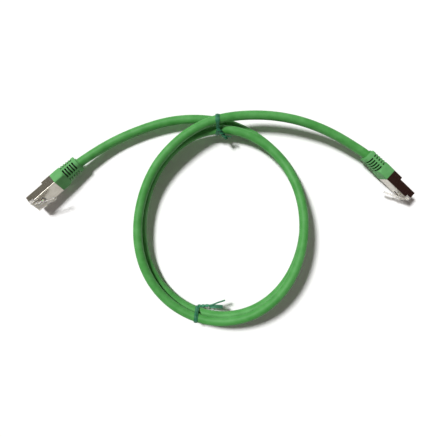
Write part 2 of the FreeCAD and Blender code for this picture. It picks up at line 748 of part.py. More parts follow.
def hull_face(centres, normal, radius):
    """The face inside a belt that runs round equal circles on the centres."""
    edges = []
    for before, here, after in zip(centres[-1:] + centres[:-1], centres, centres[1:] + centres[:1]):
        out_before = (here - before).cross(normal).normalize() * radius
        out_after = (after - here).cross(normal).normalize() * radius
        out_middle = (here - before).normalize() - (after - here).normalize()
        middle = here + out_middle.normalize() * radius
        edges.append(Part.Arc(here + out_before, middle, here + out_after).toShape())
        edges.append(Part.LineSegment(here + out_after, after + out_after).toShape())
    return Part.Face(Part.Wire(edges))


def make_band(centres, normal, inner, outer, width):
    """A closed band of the given width round the strands."""
    ring = hull_face(centres, normal, outer).cut(hull_face(centres, normal, inner))
    ring.translate(normal * (-width / 2))
    return ring.extrude(normal * width)


def make_tail(start, tip, flat):
    """A flat tail of ribbon, its faces as square to the direction given as its run allows."""
    along = (tip - start).normalize()
    side = along.cross(flat).normalize() * (TIE_RIBBON_WIDTH / 2)
    thickness = side.cross(along).normalize() * TIE_TAIL_THICKNESS
    corners = [start + side, start - side, tip - side, tip + side]
    plate = Part.Face(Part.makePolygon(corners + corners[:1]))
    plate.translate(thickness * -0.5)
    return plate.extrude(thickness)


def make_tie(name, strands, normal, fit, neck_side, neck_end, tail_tips):
    """Save a tie and its wire: a band round the strands, a twisted neck at the last strand, two tails."""
    centres = in_order_round(strands, normal)
    inner = CABLE_RADIUS + fit
    outer = inner + TIE_RIBBON_THICKNESS
    middle = (inner + outer) / 2
    wire_half = TIE_WIRE_SIDE / 2
    channel_half = wire_half + TIE_WIRE_FIT
    channel = make_band(centres, normal, middle - channel_half, middle + channel_half, 2 * channel_half)
    wire = make_band(centres, normal, middle - wire_half, middle + wire_half, TIE_WIRE_SIDE)
    band = make_band(centres, normal, inner, outer, TIE_RIBBON_WIDTH)
    strand_space = make_band(centres, normal, inner - CABLE_RADIUS, inner, 3 * TIE_RIBBON_WIDTH)
    neck_start = strands[-1] + Vector(*neck_side).normalize() * middle
    neck_end = Vector(*neck_end)
    neck_run = neck_end - neck_start
    neck = Part.makeCylinder(TIE_TWIST_RADIUS, neck_run.Length, neck_start, neck_run)
    edge_on, flat = [Vector(*tip) for tip in tail_tips]
    tails = [make_tail(neck_end, edge_on, neck_run.cross(UPWARD)), make_tail(neck_end, flat, UPWARD)]
    tie = neck.fuse([band] + tails).cut(strand_space).cut(channel).removeSplitter()
    save(name, tie)
    save(name + "_wire", wire)


def make_bottom_tie(points):
    """The tie round the two turns, square to the loop."""
    bearing = math.radians(BOTTOM_TIE_BEARING)
    outward = Vector(math.cos(bearing), math.sin(bearing), 0)
    along_loop = UPWARD.cross(outward)
    lower, upper = crossings(points["coil"], Vector(LOOP_X, LOOP_Y, 0), along_loop, outward)
    print("strands in the bottom tie", lower, upper)
    make_tie("bottom_tie", [upper, lower], along_loop, BOTTOM_TIE_FIT,
             BOTTOM_NECK_SIDE, BOTTOM_NECK_END, BOTTOM_TAIL_TIPS)


def make_top_tie(points):
    """The tie round the strand from the left plug, the first turn and the strand to the right plug."""
    plane_point = Vector(TOP_TIE_X, LOOP_Y, 0)
    names = ("left_tail", "right_tail", "coil")
    strands = [crossings(points[name], plane_point, FORWARD, ACROSS)[0] for name in names]
    print("strands in the top tie", *strands)
    make_tie("top_tie", strands, FORWARD, TOP_TIE_FIT, TOP_NECK_SIDE, TOP_NECK_END, TOP_TAIL_TIPS)


# Building and writing


def save(name, shape):
    """Write one piece."""
    shape.exportStep("parts/%s.step" % name)
    bounds = shape.BoundBox
    print("%-22s solids %d volume %8.1f z %6.2f to %6.2f valid %s"
          % (name, len(shape.Solids), shape.Volume, bounds.ZMin, bounds.ZMax, shape.isValid()))


def report_routes(routes):
    """Print each stretch's length, its radii and the gaps between stretches."""
    points = {}
    for name, route in routes.items():
        points[name] = route_points(route)
        length = route_wire(route).Length
        heights = [p.z for p in points[name]]
        radii = ["%.0f" % bend_radius(bend) for bend in route[1]]
        print("%s: length %.1f, axis %.2f to %.2f high, bend radii %s"
              % (name, length, min(heights), max(heights), " ".join(radii)))
    near_end = int(NEXT_TO / SAMPLE_STEP)
    left, coil, right = points["left_tail"], points["coil"], points["right_tail"]
    print("coil, least gap to itself %.2f" % least_gap_to_itself(coil, NEXT_TO))
    print("left and right stretch, least gap %.2f" % least_gap(left, right))
    print("left stretch and turns, least gap %.2f" % least_gap(left, coil[near_end:]))
    print("right stretch and turns, least gap %.2f" % least_gap(right, coil[:-near_end]))
    print("cable in all %.1f" % sum(route_wire(route).Length for route in routes.values()))
    return points


def make_cable(routes, offsets):
    """The jacket in its three stretches, the screen and the four pairs."""
    for name, route in routes.items():
        jacket = tube_along(route, CABLE_RADIUS, BORE_RADIUS)
        length = route_wire(route).Length
        section = math.pi * (CABLE_RADIUS ** 2 - BORE_RADIUS ** 2)
        print("%s: jacket volume over section times length %.4f" % (name, jacket.Volume / (section * length)))
        save("jacket_" + name, jacket)
    screens = [tube_along(route, SCREEN_RADIUS, CORE_RADIUS) for route in routes.values()]
    save("braided_screen", Part.makeCompound(screens))
    for colour, stretch in offsets.items():
        rods = [rod_along(route, PAIR_RADIUS, offset) for route, offset in zip(routes.values(), stretch)]
        save("pair_" + colour, Part.makeCompound(rods))


def make_plug(side, placement, pair_ends):
    """One end's pieces. The pairs' ends are offsets from the cable's axis."""
    inverse = placement.Rotation.inverted()
    axis = Vector(0, 0, CABLE_AXIS_Z)
    pair_places = {colour: inverse.multVec(offset) + axis for colour, offset in pair_ends.items()}
    pieces = {
        "plug_body": make_plug_body(),
        "shield_shell": make_shield_shell(),
        "contacts": make_contacts(),
        "load_bar": make_load_bar(),
        "wire_ends": make_wire_ends(pair_places),
        "braid_collar": make_braid_collar(),
        "latch": make_latch(),
        "boot": make_boot(),
    }
    for name, shape in pieces.items():
        save("%s_%s" % (side, name), shape.transformed(placement.toMatrix()))
    for name, place in (("latch root", (LATCH_ROOT_X, 0, LATCH_ROOT_Z)), ("nose", (PLUG_LENGTH, 0, 0))):
        print(side, name, placement.multVec(Vector(*place)))
    for name, direction in (("heading", FORWARD), ("latch axis", -ACROSS), ("latch face", UPWARD)):
        print(side, name, placement.Rotation.multVec(direction))


def main():
    """Build every piece and write it."""
    os.makedirs("parts", exist_ok=True)
    left = plug_placement(LEFT_PLUG_PLACE, LEFT_PLUG_TURNS)
    right = plug_placement(RIGHT_PLUG_PLACE, RIGHT_PLUG_TURNS)
    coil = coil_route()
    routes = {"left_tail": left_route(left, coil), "coil": coil, "right_tail": right_route(right, coil)}
    offsets = pair_offsets(left, routes.values())
    points = report_routes(routes)
    make_cable(routes, offsets)
    make_plug("left", left, {colour: stretch[0] for colour, stretch in offsets.items()})
    make_plug("right", right, {colour: stretch[-1] for colour, stretch in offsets.items()})
    make_bottom_tie(points)
    make_top_tie(points)


main()
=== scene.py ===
import logging
import math
from dataclasses import dataclass, field
from enum import Enum
from typing import Iterable, Sequence

import bpy
import numpy as np
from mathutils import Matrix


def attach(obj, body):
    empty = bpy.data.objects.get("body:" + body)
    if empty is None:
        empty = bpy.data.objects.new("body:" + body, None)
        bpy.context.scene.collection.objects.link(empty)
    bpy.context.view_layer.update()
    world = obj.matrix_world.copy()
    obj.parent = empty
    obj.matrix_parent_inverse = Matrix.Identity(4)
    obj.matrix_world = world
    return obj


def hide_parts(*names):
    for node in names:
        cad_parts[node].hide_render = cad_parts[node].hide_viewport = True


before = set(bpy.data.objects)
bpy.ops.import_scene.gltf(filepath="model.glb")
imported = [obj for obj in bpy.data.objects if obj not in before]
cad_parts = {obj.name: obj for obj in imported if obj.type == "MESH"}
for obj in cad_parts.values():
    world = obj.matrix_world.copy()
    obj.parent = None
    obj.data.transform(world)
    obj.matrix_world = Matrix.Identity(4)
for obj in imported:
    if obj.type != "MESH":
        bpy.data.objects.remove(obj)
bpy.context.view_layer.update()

LOG = logging.getLogger("patch_cable")
Array = np.ndarray
Piece = bpy.types.Object
Socket = bpy.types.NodeSocket
Triple = tuple[float, float, float]
Colour = Triple

# The body on which everything but the two latches rides
BODY = "cable_and_plugs"
MM = 0.001
UP = np.array([0.0, 0.0, 1.0])


class Side(Enum):
    """The cable's two ends."""

    LEFT = "left"
    RIGHT = "right"


# Grids and meshes


def unit(vectors: Array) -> Array:
    """The same vectors, each divided by its length, with x, y and z along the last axis."""
    return vectors / np.linalg.norm(vectors, axis=-1, keepdims=True)


def grid_faces(rows: int, columns: int, close_rows: bool) -> Array:
    """Quads between neighbouring points of a grid of closed rings, numbered ring by ring.

    Args:
        rows: number of rings.
        columns: number of points in a ring.
        close_rows: whether the last ring joins the first.

    Returns:
        An array of four point numbers per face.
    """
    row = np.arange(rows if close_rows else rows - 1)[:, None]
    column = np.arange(columns)[None, :]
    next_row = (row + 1) % rows
    next_column = (column + 1) % columns
    corners = (row * columns + column, row * columns + next_column,
               next_row * columns + next_column, next_row * columns + column)
    return np.stack(np.broadcast_arrays(*corners), axis=-1).reshape(-1, 4)


def enclosed_volume(points: Array, faces: Array) -> float:
    """Six times the volume inside quads, from tetrahedra about the origin; positive if they face out."""
    a, b, c, d = (points[faces[:, k]] for k in range(4))
    return float((np.cross(a, b) * c).sum() + (np.cross(a, c) * d).sum())


def grid_polygons(grid: Array, close_rows: bool, first: int) -> list[list[int]]:
    """A grid's faces, pointing outwards, with a flat cap at both ends unless the rings close.

    Args:
        grid: rings of points, in metres.
        close_rows: whether the last ring joins the first.
        first: the number that the grid's first point has in the mesh.

    Returns:
        The point numbers of each face.
    """
    rows, columns, _ = grid.shape
    points = grid.reshape(-1, 3)
    faces = grid_faces(rows, columns, close_rows)
    outward = enclosed_volume(points - points.mean(axis=0), faces) > 0
    faces = faces if outward else faces[:, ::-1]
    polygons = (faces + first).tolist()
    if not close_rows:
        front = np.arange(columns) + first
        back = front + (rows - 1) * columns
        polygons.append((front[::-1] if outward else front).tolist())
        polygons.append((back if outward else back[::-1]).tolist())
    return polygons


def add_object(name: str, data: bpy.types.ID) -> Piece:
    """A new object in the scene, at the origin.

    Args:
        name: its name.
        data: its mesh, curve, camera or lamp.

    Returns:
        The object.
    """
    piece = bpy.data.objects.new(name, data)
    bpy.context.scene.collection.objects.link(piece)
    return piece


def piece_of_grids(name: str, grids: Sequence[Array], close_rows: bool = False,
                   smooth_angle: float = 40.0) -> Piece:
    """Make one piece from grids whose rows are closed rings.

    Args:
        name: the piece's name.
        grids: each a closed shape of its own, rows of rings of points, in metres.
        close_rows: True where a grid's last ring joins its first; otherwise both ends get a flat cap.
        smooth_angle: edges that turn by more than this, in degrees, stay sharp.

    Returns:
        The new object, its faces pointing outwards.
    """
    polygons: list[list[int]] = []
    first = 0
    for grid in grids:
        polygons += grid_polygons(grid, close_rows, first)
        first += grid.shape[0] * grid.shape[1]
    points = np.concatenate([grid.reshape(-1, 3) for grid in grids])
    mesh = bpy.data.meshes.new(name)
    mesh.from_pydata(points.tolist(), [], polygons)
    mesh.validate()
    mesh.shade_smooth()
    mesh.set_sharp_from_angle(angle=math.radians(smooth_angle))
    return add_object(name, mesh)


def along_lengths(path: Array) -> Array:
    """The distance along a path at each of its points, from the lengths of its steps added up."""
    steps = np.linalg.norm(np.diff(path, axis=0), axis=1)
    return np.concatenate([[0.0], np.cumsum(steps)])


def resampled(path: Array, count: int, carried: Array | None = None) -> Array:
    """Points at equal distances along a path, or the values that go with them.

    Args:
        path: points along any line, of two or three numbers each.
        count: how many rows to return.
        carried: a row of values for each point, where those are wanted instead of the points.

    Returns:
        The new rows, each found by straight interpolation over the distance along the path.
    """
    lengths = along_lengths(path)
    wanted = np.linspace(0.0, lengths[-1], count)
    rows = path if carried is None else carried
    return np.stack([np.interp(wanted, lengths, rows[:, k]) for k in range(rows.shape[1])], axis=1)


def directions(path: Array) -> Array:
    """The heading at each point of a path: the difference of its two neighbours, made unit."""
    return unit(np.gradient(path, axis=0))


def averaged(values: Array, times: int) -> Array:
    """Average each row with its two neighbours, itself counted twice, and hold the ends.

    Args:
        values: rows of values.
        times: how often to do it.

    Returns:
        The averaged rows.
    """
    for _ in range(times):
        middle = (values[:-2] + 2 * values[1:-1] + values[2:]) / 4
        values = np.concatenate([values[:1], middle, values[-1:]])
    return values


def eased(share: float | Array) -> float | Array:
    """A share from 0 to 1 with a soft start and a soft end: share * share * (3 - 2 * share)."""
    return share * share * (3 - 2 * share)


def with_waves(mean: float | Array, waves: Iterable[Triple], bearing: Array) -> Array:
    """A mean with waves of the bearing: mean + the sum of height * cos(number * (bearing - crest)).

    Args:
        mean: the value without the waves.
        waves: each one's height, number in a turn and bearing of its crest, in degrees.
        bearing: degrees.

    Returns:
        The value at each bearing.
    """
    rises = (height * np.cos(np.radians(number * (bearing - crest))) for height, number, crest in waves)
    return sum(rises, start=mean)


def turn_about(axis: int, angle: float) -> Array:
    """The matrix of a turn about one axis.

    Args:
        axis: 0 for x, 1 for y and 2 for z.
        angle: the angle in radians.

    Returns:
        The matrix, to be multiplied by a column.
    """
    matrix = np.eye(3)
    first = (axis + 1) % 3
    second = (axis + 2) % 3
    matrix[first, first] = matrix[second, second] = math.cos(angle)
    matrix[second, first] = math.sin(angle)
    matrix[first, second] = -math.sin(angle)
    return matrix


def helix(axis: Array, heading: Array, radius: float, angle: Array) -> tuple[Array, Array]:
    """A line that winds round an axis.

    A point is axis + radius * (side * cos angle + rise * sin angle), where side is level and square to
    the heading, and rise is square to both.

    Args:
        axis: points along the axis.
        heading: the axis's direction at each of them, or one for all.
        radius: the line's distance from the axis.
        angle: its angle at each point, in radians.

    Returns:
        The line's points, and at each the direction away from the axis.
    """
    side = unit(np.cross(heading, UP))
    rise = np.cross(side, heading)
    away = side * np.cos(angle[:, None]) + rise * np.sin(angle[:, None])
    return axis + radius * away, away


def sweep(path: Array, faces_out: Array, outline: Array) -> Array:
    """Carry a closed outline along a path.

    A ring's points are path + outline x * side + outline y * out, where out is the given direction
    made square to the heading, and side is the heading crossed with out.

    Args:
        path: points along the path.
        faces_out: the direction in which the outline's y points, at each point.
        outline: the outline's points as (x, y), the same for all rings, or one outline per ring.

    Returns:
        A grid with one ring for each point of the path.
    """
    heading = directions(path)
    side = unit(np.cross(heading, faces_out))
    out = np.cross(side, heading)
    outline = np.broadcast_to(outline, (len(path),) + outline.shape[-2:])
    return (path[:, None, :]
            + outline[:, :, :1] * side[:, None, :]
            + outline[:, :, 1:] * out[:, None, :])


def circle(radius: float, count: int) -> Array:
    """A closed circle of points about the origin, at equal angles."""
    angle = np.linspace(0.0, 2 * math.pi, count, endpoint=False)
    return radius * np.stack([np.cos(angle), np.sin(angle)], axis=1)


# Finishes


class NodeBoard:
    """A node tree, with short ways to add and join nodes."""

    def __init__(self, tree: bpy.types.NodeTree) -> None:
        """Empty the node tree of a material or a world, and keep it."""
        self.tree = tree
        self.tree.nodes.clear()

    def add(self, kind: str, feeds: dict[str | int, object] | None = None,
            **properties: object) -> bpy.types.Node:
        """Add a node.

        Args:
            kind: the node's type.
            feeds: for each input, by name or number, its value or the socket that it is linked to.
            **properties: the node's own properties.

        Returns:
            The node.
        """
        node = self.tree.nodes.new(kind)
        for key, value in properties.items():
            setattr(node, key, value)
        for key, value in (feeds or {}).items():
            if isinstance(value, Socket):
                self.tree.links.new(value, node.inputs[key])
            else:
                node.inputs[key].default_value = value
        return node

    def combine(self, operation: str, first: Socket, second: Socket) -> Socket:
        """Two numbers' sum, the larger of them or the like, as the Math node's operation says."""
        return self.add("ShaderNodeMath", {0: first, 1: second}, operation=operation).outputs["Value"]

    def blend_colours(self, share: Socket, stops: Sequence[tuple[float, Colour]]) -> Socket:
        """A colour that follows a 0 to 1 pattern between stops.

        Args:
            share: the pattern's socket.
            stops: the pattern's value and the colour at each stop.

        Returns:
            The colour's socket.
        """
        ramp = self.add("ShaderNodeValToRGB", {"Fac": share})
        elements = ramp.color_ramp.elements
        while len(elements) < len(stops):
            elements.new(0.5)
        for element, (at, colour) in zip(elements, stops):
            element.position = at
            element.color = (*colour, 1.0)
        return ramp.outputs["Color"]


class NodeSheet(NodeBoard):
    """A material and its nodes."""

    def __init__(self, name: str) -> None:
        """Start a material of this name with an empty node tree."""
        self.material = bpy.data.materials.new(name)
        self.material.use_nodes = True
        super().__init__(self.material.node_tree)

    def object_place(self, scale: Sequence[float] = (1.0, 1.0, 1.0),
                     turn: Sequence[float] = (0.0, 0.0, 0.0)) -> Socket:
        """The object's own coordinates in metres, turned and then scaled.

        Args:
            scale: the factor along each axis.
            turn: the rotation about each axis, in radians.

        Returns:
            The socket with the coordinates.
        """
        place = self.add("ShaderNodeTexCoord").outputs["Object"]
        turned = self.add("ShaderNodeMapping", {"Vector": place, "Rotation": turn}, vector_type="TEXTURE")
        scaled = self.add("ShaderNodeMapping", {"Vector": turned.outputs["Vector"], "Scale": scale})
        return scaled.outputs["Vector"]

    def noise(self, place: Socket, scale: float, detail: float = 2.0, roughness: float = 0.5) -> Socket:
        """Noise from 0 to 1, by features per unit of the place, octaves and the finer ones' strength."""
        feeds = {"Vector": place, "Scale": scale, "Detail": detail, "Roughness": roughness}
        return self.add("ShaderNodeTexNoise", feeds).outputs["Fac"]

    def by_attribute(self, attribute: str, span: tuple[float, float], outside: Socket,
                     inside: Colour) -> Socket:
        """A colour that turns into another as one of the piece's attributes rises.

        Args:
            attribute: the attribute's name.
            span: the attribute's values between which the change takes place.
            outside: the colour's socket below them.
            inside: the other colour.

        Returns:
            The colour's socket.
        """
        value = self.add("ShaderNodeAttribute", attribute_type="GEOMETRY", attribute_name=attribute)
        share = self.between(value.outputs["Fac"], 0.0, 1.0, span)
        mix = self.add("ShaderNodeMixRGB", {"Fac": share, "Color1": outside, "Color2": (*inside, 1.0)})
        return mix.outputs["Color"]

    def along_axes(self, turn: Sequence[float]) -> Socket:
        """How nearly the surface faces along one of three axes: the largest part of its direction.

        Args:
            turn: the rotation of the axes about x, y and z, in radians.

        Returns:
            The socket with the value, 1 on faces square to an axis and less on rounded folds.
        """
        facing = self.add("ShaderNodeNewGeometry").outputs["True Normal"]
        own = self.add("ShaderNodeVectorTransform", {"Vector": facing}, vector_type="NORMAL",
                       convert_from="WORLD", convert_to="OBJECT")
        turned = self.add("ShaderNodeMapping", {"Vector": own.outputs["Vector"], "Rotation": turn},
                          vector_type="TEXTURE")
        size = self.add("ShaderNodeVectorMath", {0: turned.outputs["Vector"]}, operation="ABSOLUTE")
        parts = self.add("ShaderNodeSeparateXYZ", {"Vector": size.outputs["Vector"]})
        larger = self.combine("MAXIMUM", parts.outputs["X"], parts.outputs["Y"])
        return self.combine("MAXIMUM", larger, parts.outputs["Z"])

    def between(self, value: Socket, low: float, high: float,
                span: tuple[float, float] = (0.0, 1.0)) -> Socket:
        """A value that runs from low to high while a given one runs over a span, and then stays."""
        feeds = {"Value": value, "From Min": span[0], "From Max": span[1], "To Min": low, "To Max": high}
        return self.add("ShaderNodeMapRange", feeds).outputs["Result"]

    def relief(self, height: Socket, distance: float, strength: float = 1.0,
               under: Socket | None = None) -> Socket:
        """A bump from a 0 to 1 height.

        Args:
            height: the pattern's socket.
            distance: the full height, in metres.
            strength: how much of the bump shows.
            under: a bump that this one lies on.

        Returns:
            The normal's socket.
        """
        feeds = {"Height": height, "Distance": distance, "Strength": strength}
        if under is not None:
            feeds["Normal"] = under
        return self.add("ShaderNodeBump", feeds).outputs["Normal"]

    def surface(self, **settings: object) -> None:
        """The main shader, joined to the material's output.

        Args:
            **settings: input names with spaces written as underscores, and for each its value or the
                socket that it is linked to.
        """
        feeds = {key.replace("_", " "): value for key, value in settings.items()}
        shader = self.add("ShaderNodeBsdfPrincipled", feeds)
        self.add("ShaderNodeOutputMaterial", {"Surface": shader.outputs["BSDF"]})


@dataclass(frozen=True)
class VinylFinish:
    """Soft coloured vinyl: a little uneven in colour and gloss, with a fine skin.

    Attributes:
        name: the material's name.
        colour: the mean colour, linear.
        deep: the colour of the darker patches.
        pale: the colour of the paler patches.
        gloss: the mean roughness.
        skin: the height of the fine skin, in metres.
        slot_shade: painted shade, the colour deep in the slots of a piece with the attribute "slot_depth".
        sheen_index: the refractive index, which sets how much the surface reflects at a low angle.
        shine: how strongly it reflects seen straight on, from 0 to 1.
        patch_scale: patches of colour per metre.
        grain_scale: grains of gloss per metre.
        gloss_spread: how far the roughness strays from its mean.
        wave_scale: low waves per metre.
        wave_rise: the waves' height, as a multiple of the skin's.
        skin_scale: dimples of the skin per metre.
    """

    name: str
    colour: Colour
    deep: Colour
    pale: Colour
    gloss: float = 0.62
    skin: float = 0.00002
    slot_shade: Colour | None = None
    sheen_index: float = 1.45
    shine: float = 0.3
    patch_scale: float = 140.0
    grain_scale: float = 900.0
    gloss_spread: float = 0.07
    wave_scale: float = 260.0
    wave_rise: float = 6.0
    skin_scale: float = 3200.0

    def build(self) -> bpy.types.Material:
        """Patches of about 7 mm over a grain of about 1 mm, and a skin of 0.3 mm on waves of 4 mm.

        Returns:
            The material.
        """
        sheet = NodeSheet(self.name)
        place = sheet.object_place()
        patches = sheet.noise(place, self.patch_scale, detail=3.0, roughness=0.55)
        colour = sheet.blend_colours(patches, [(0.3, self.deep), (0.5, self.colour), (0.72, self.pale)])
        # Painted shade: the colour darkens with the depth in a slot, where little light gets in.
        if self.slot_shade is not None:
            colour = sheet.by_attribute(SLOT_DEPTH, SLOT_SHADE_DEPTHS, colour, self.slot_shade)
        grain = sheet.noise(place, self.grain_scale)
        roughness = sheet.between(grain, self.gloss - self.gloss_spread, self.gloss + self.gloss_spread)
        rise = self.wave_rise * self.skin
        waves = sheet.relief(sheet.noise(place, self.wave_scale), rise, strength=0.6)
        skin = sheet.relief(sheet.noise(place, self.skin_scale), self.skin, strength=0.5, under=waves)
        sheet.surface(Base_Color=colour, Roughness=roughness, Normal=skin, IOR=self.sheen_index,
                      Specular_IOR_Level=self.shine)
        return sheet.material


@dataclass(frozen=True)
class BrushedMetalFinish:
    """Plated sheet metal, brushed along one direction.

    Attributes:
        name: the material's name.
        colour: the metal's colour at its cleanest, linear.
        worn: its colour in the duller patches.
        gloss: the mean roughness.
        turn: the rotation that turns the brushed direction onto x, in radians about each axis.
        fold_gloss: the roughness added on rounded folds, which handling has dulled.
        line_scale: brushed lines per metre along the three turned axes.
        line_depth: the lines' depth, in metres.
        gloss_spread: how far the roughness strays below and above its mean.
        patch_scale: duller patches per metre.
        fold_span: how nearly along an axis a face points where folds start, and where they are full.
    """

    name: str
    colour: Colour
    worn: Colour
    gloss: float = 0.26
    turn: Triple = (0.0, 0.0, 0.0)
    fold_gloss: float = 0.0
    line_scale: Triple = (200.0, 5000.0, 5000.0)
    line_depth: float = 0.000004
    gloss_spread: tuple[float, float] = (-0.06, 0.10)
    patch_scale: float = 260.0
    fold_span: tuple[float, float] = (0.997, 0.985)

    def build(self) -> bpy.types.Material:
        """Lines of 0.2 mm across the brushed direction and 5 mm along it, over patches of about 4 mm.

        Returns:
            The material.
        """
        sheet = NodeSheet(self.name)
        along = sheet.object_place(self.line_scale, self.turn)
        lines = sheet.noise(along, scale=1.0, detail=3.0, roughness=0.6)
        patches = sheet.noise(sheet.object_place(), self.patch_scale, detail=3.0, roughness=0.6)
        colour = sheet.blend_colours(patches, [(0.3, self.worn), (0.65, self.colour)])
        below, above = self.gloss_spread
        roughness = sheet.between(lines, self.gloss + below, self.gloss + above)
        if self.fold_gloss:
            folds = sheet.between(sheet.along_axes(self.turn), 0.0, self.fold_gloss, self.fold_span)
            roughness = sheet.combine("ADD", roughness, folds)
        sheet.surface(Metallic=1.0, Base_Color=colour, Roughness=roughness,
                      Normal=sheet.relief(lines, self.line_depth, strength=0.25))
        return sheet.material


@dataclass(frozen=True)
class ClearFinish:
    """Clear moulded polycarbonate, faintly milky, with flow lines from the mould.

    Attributes:
        name: the material's name.
        tint: the colour of light through it, linear.
        haze: the mean roughness.
        clarity: the share of light that passes; the rest is scattered inside.
        depth: how far the scattered light spreads, in metres.
        cover: how much of the light is stopped at all; the rest goes straight on, so the shadow is pale.
        index: the refractive index.
        flow_scale: flow lines per metre.
        flow_height: their height, in metres.
        flow_tint: how much darker the tint is in them, as a factor.
        haze_span: the roughness at the bottom and the top of a flow line, as factors of the haze.
        spread: how far red, green and blue spread, as factors of the depth.
    """

    name: str
    tint: Colour
    haze: float = 0.06
    clarity: float = 0.75
    depth: float = 0.003
    cover: float = 1.0
    index: float = 1.5
    flow_scale: float = 330.0
    flow_height: float = 0.00006
    flow_tint: float = 0.96
    haze_span: tuple[float, float] = (0.5, 1.8)
    spread: Triple = (1.0, 1.0, 0.9)

    def build(self) -> bpy.types.Material:
        """A glass-like surface with flow waves of about 3 mm.

        Returns:
            The material.
        """
        sheet = NodeSheet(self.name)
        flow = sheet.noise(sheet.object_place(), self.flow_scale)
        darker = tuple(self.flow_tint * part for part in self.tint)
        low, high = self.haze_span
        sheet.surface(
            Base_Color=sheet.blend_colours(flow, [(0.3, darker), (0.7, self.tint)]),
            Roughness=sheet.between(flow, self.haze * low, self.haze * high),
            Normal=sheet.relief(flow, self.flow_height, strength=0.4), IOR=self.index,
            Transmission_Weight=self.clarity, Subsurface_Weight=1.0, Subsurface_Scale=self.depth,
            Subsurface_Radius=self.spread, Alpha=self.cover)
        return sheet.material


@dataclass(frozen=True)
class PlasticFinish:
    """Plain moulded plastic with a fine grain.

    Attributes:
        name: the material's name.
        colour: the mean colour, linear.
        gloss: the mean roughness.
        variation: how far the colour strays, as a share.
        index: the refractive index.
        patch_scale: patches of colour per metre.
        grain_scale: grains per metre.
        grain_height: their height, in metres.
        gloss_spread: how far the roughness strays below and above its mean.
    """

    name: str
    colour: Colour
    gloss: float = 0.4
    variation: float = 0.12
    index: float = 1.5
    patch_scale: float = 330.0
    grain_scale: float = 2000.0
    grain_height: float = 0.00001
    gloss_spread: tuple[float, float] = (-0.06, 0.08)

    def build(self) -> bpy.types.Material:
        """A colour that strays over about 3 mm, and a grain of about 0.5 mm.

        Returns:
            The material.
        """
        sheet = NodeSheet(self.name)
        place = sheet.object_place()
        darker = tuple(part * (1 - self.variation) for part in self.colour)
        paler = tuple(part * (1 + self.variation) for part in self.colour)
        patches = sheet.noise(place, self.patch_scale, detail=3.0)
        grain = sheet.noise(place, self.grain_scale)
        below, above = self.gloss_spread
        sheet.surface(
            Base_Color=sheet.blend_colours(patches, [(0.3, darker), (0.7, paler)]),
            Roughness=sheet.between(grain, self.gloss + below, self.gloss + above),
            Normal=sheet.relief(grain, self.grain_height, strength=0.4), IOR=self.index)
        return sheet.material


SLOT_DEPTH = "slot_depth"
# Between these depths in millimetres the boot's colour goes over into a painted slot shade
SLOT_SHADE_DEPTHS = (0.2, 0.8)

# The jacket and the boots are of nearly the same green, the ties of a bluer and darker one
JACKET = VinylFinish(
    "jacket_green", (0.069, 0.305, 0.064), (0.051, 0.265, 0.048), (0.091, 0.345, 0.086),
    gloss=0.56, sheen_index=1.4, shine=0.40)
# The boots' slots get painted shade: a near-black green, mixed in by the depth in a slot.
BOOT = VinylFinish(
    "boot_green", (0.120, 0.372, 0.122), (0.102, 0.336, 0.104), (0.142, 0.408, 0.144),
    gloss=0.62, slot_shade=(0.001, 0.018, 0.001), sheen_index=1.4)
TIE = VinylFinish(
    "tie_green", (0.024, 0.165, 0.080), (0.010, 0.100, 0.042), (0.052, 0.240, 0.130),
    gloss=0.45, skin=0.00001)
TIE_WIRE = BrushedMetalFinish("tie_steel", (0.42, 0.42, 0.41), (0.30, 0.29, 0.28), gloss=0.4)
GOLD = BrushedMetalFinish("gold_plating", (0.90, 0.66, 0.26), (0.78, 0.53, 0.19), gloss=0.22)
BRAID = BrushedMetalFinish("tinned_braid", (0.66, 0.64, 0.61), (0.45, 0.43, 0.40), gloss=0.4)
CLEAR_BODY = ClearFinish(
    "clear_body", (0.95, 0.88, 0.75), haze=0.12, clarity=0.22, depth=0.006, cover=0.80)
CLEAR_LATCH = ClearFinish(
    "clear_latch", (0.93, 0.89, 0.80), haze=0.08, clarity=0.40, depth=0.002, cover=0.60)
LOAD_BAR = PlasticFinish("load_bar_plastic", (0.72, 0.72, 0.69), gloss=0.35, variation=0.05)
INSULATION = PlasticFinish("wire_insulation", (0.60, 0.55, 0.46), gloss=0.42)
PAIR_COLOURS: dict[str, Colour] = {
    "pair_orange": (0.70, 0.20, 0.03),
    "pair_blue": (0.05, 0.13, 0.45),
    "pair_green": (0.05, 0.28, 0.10),
    "pair_brown": (0.18, 0.08, 0.04),
}
NICKEL_CLEAN: Colour = (0.48, 0.455, 0.40)
NICKEL_WORN: Colour = (0.42, 0.395, 0.34)


def dress(piece: Piece, material: bpy.types.Material) -> None:
    """Give a piece one material in place of any that it has.

    Args:
        piece: a new piece or a CAD node.
        material: its material.
    """
    if piece.data.materials:
        for slot in range(len(piece.data.materials)):
            piece.data.materials[slot] = material
    else:
        piece.data.materials.append(material)


def settle(piece: Piece, finish: bpy.types.Material, replaced: Iterable[str]) -> None:
    """Finish a new piece: its material, its body and the CAD nodes that it stands for.

    Args:
        piece: the new piece.
        finish: its material.
        replaced: the names of the CAD nodes.
    """
    dress(piece, finish)
    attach(piece, BODY)
    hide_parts(*replaced)
    LOG.info("%s stands for %s", piece.name, ", ".join(replaced))


# The camera, the lights and the floor


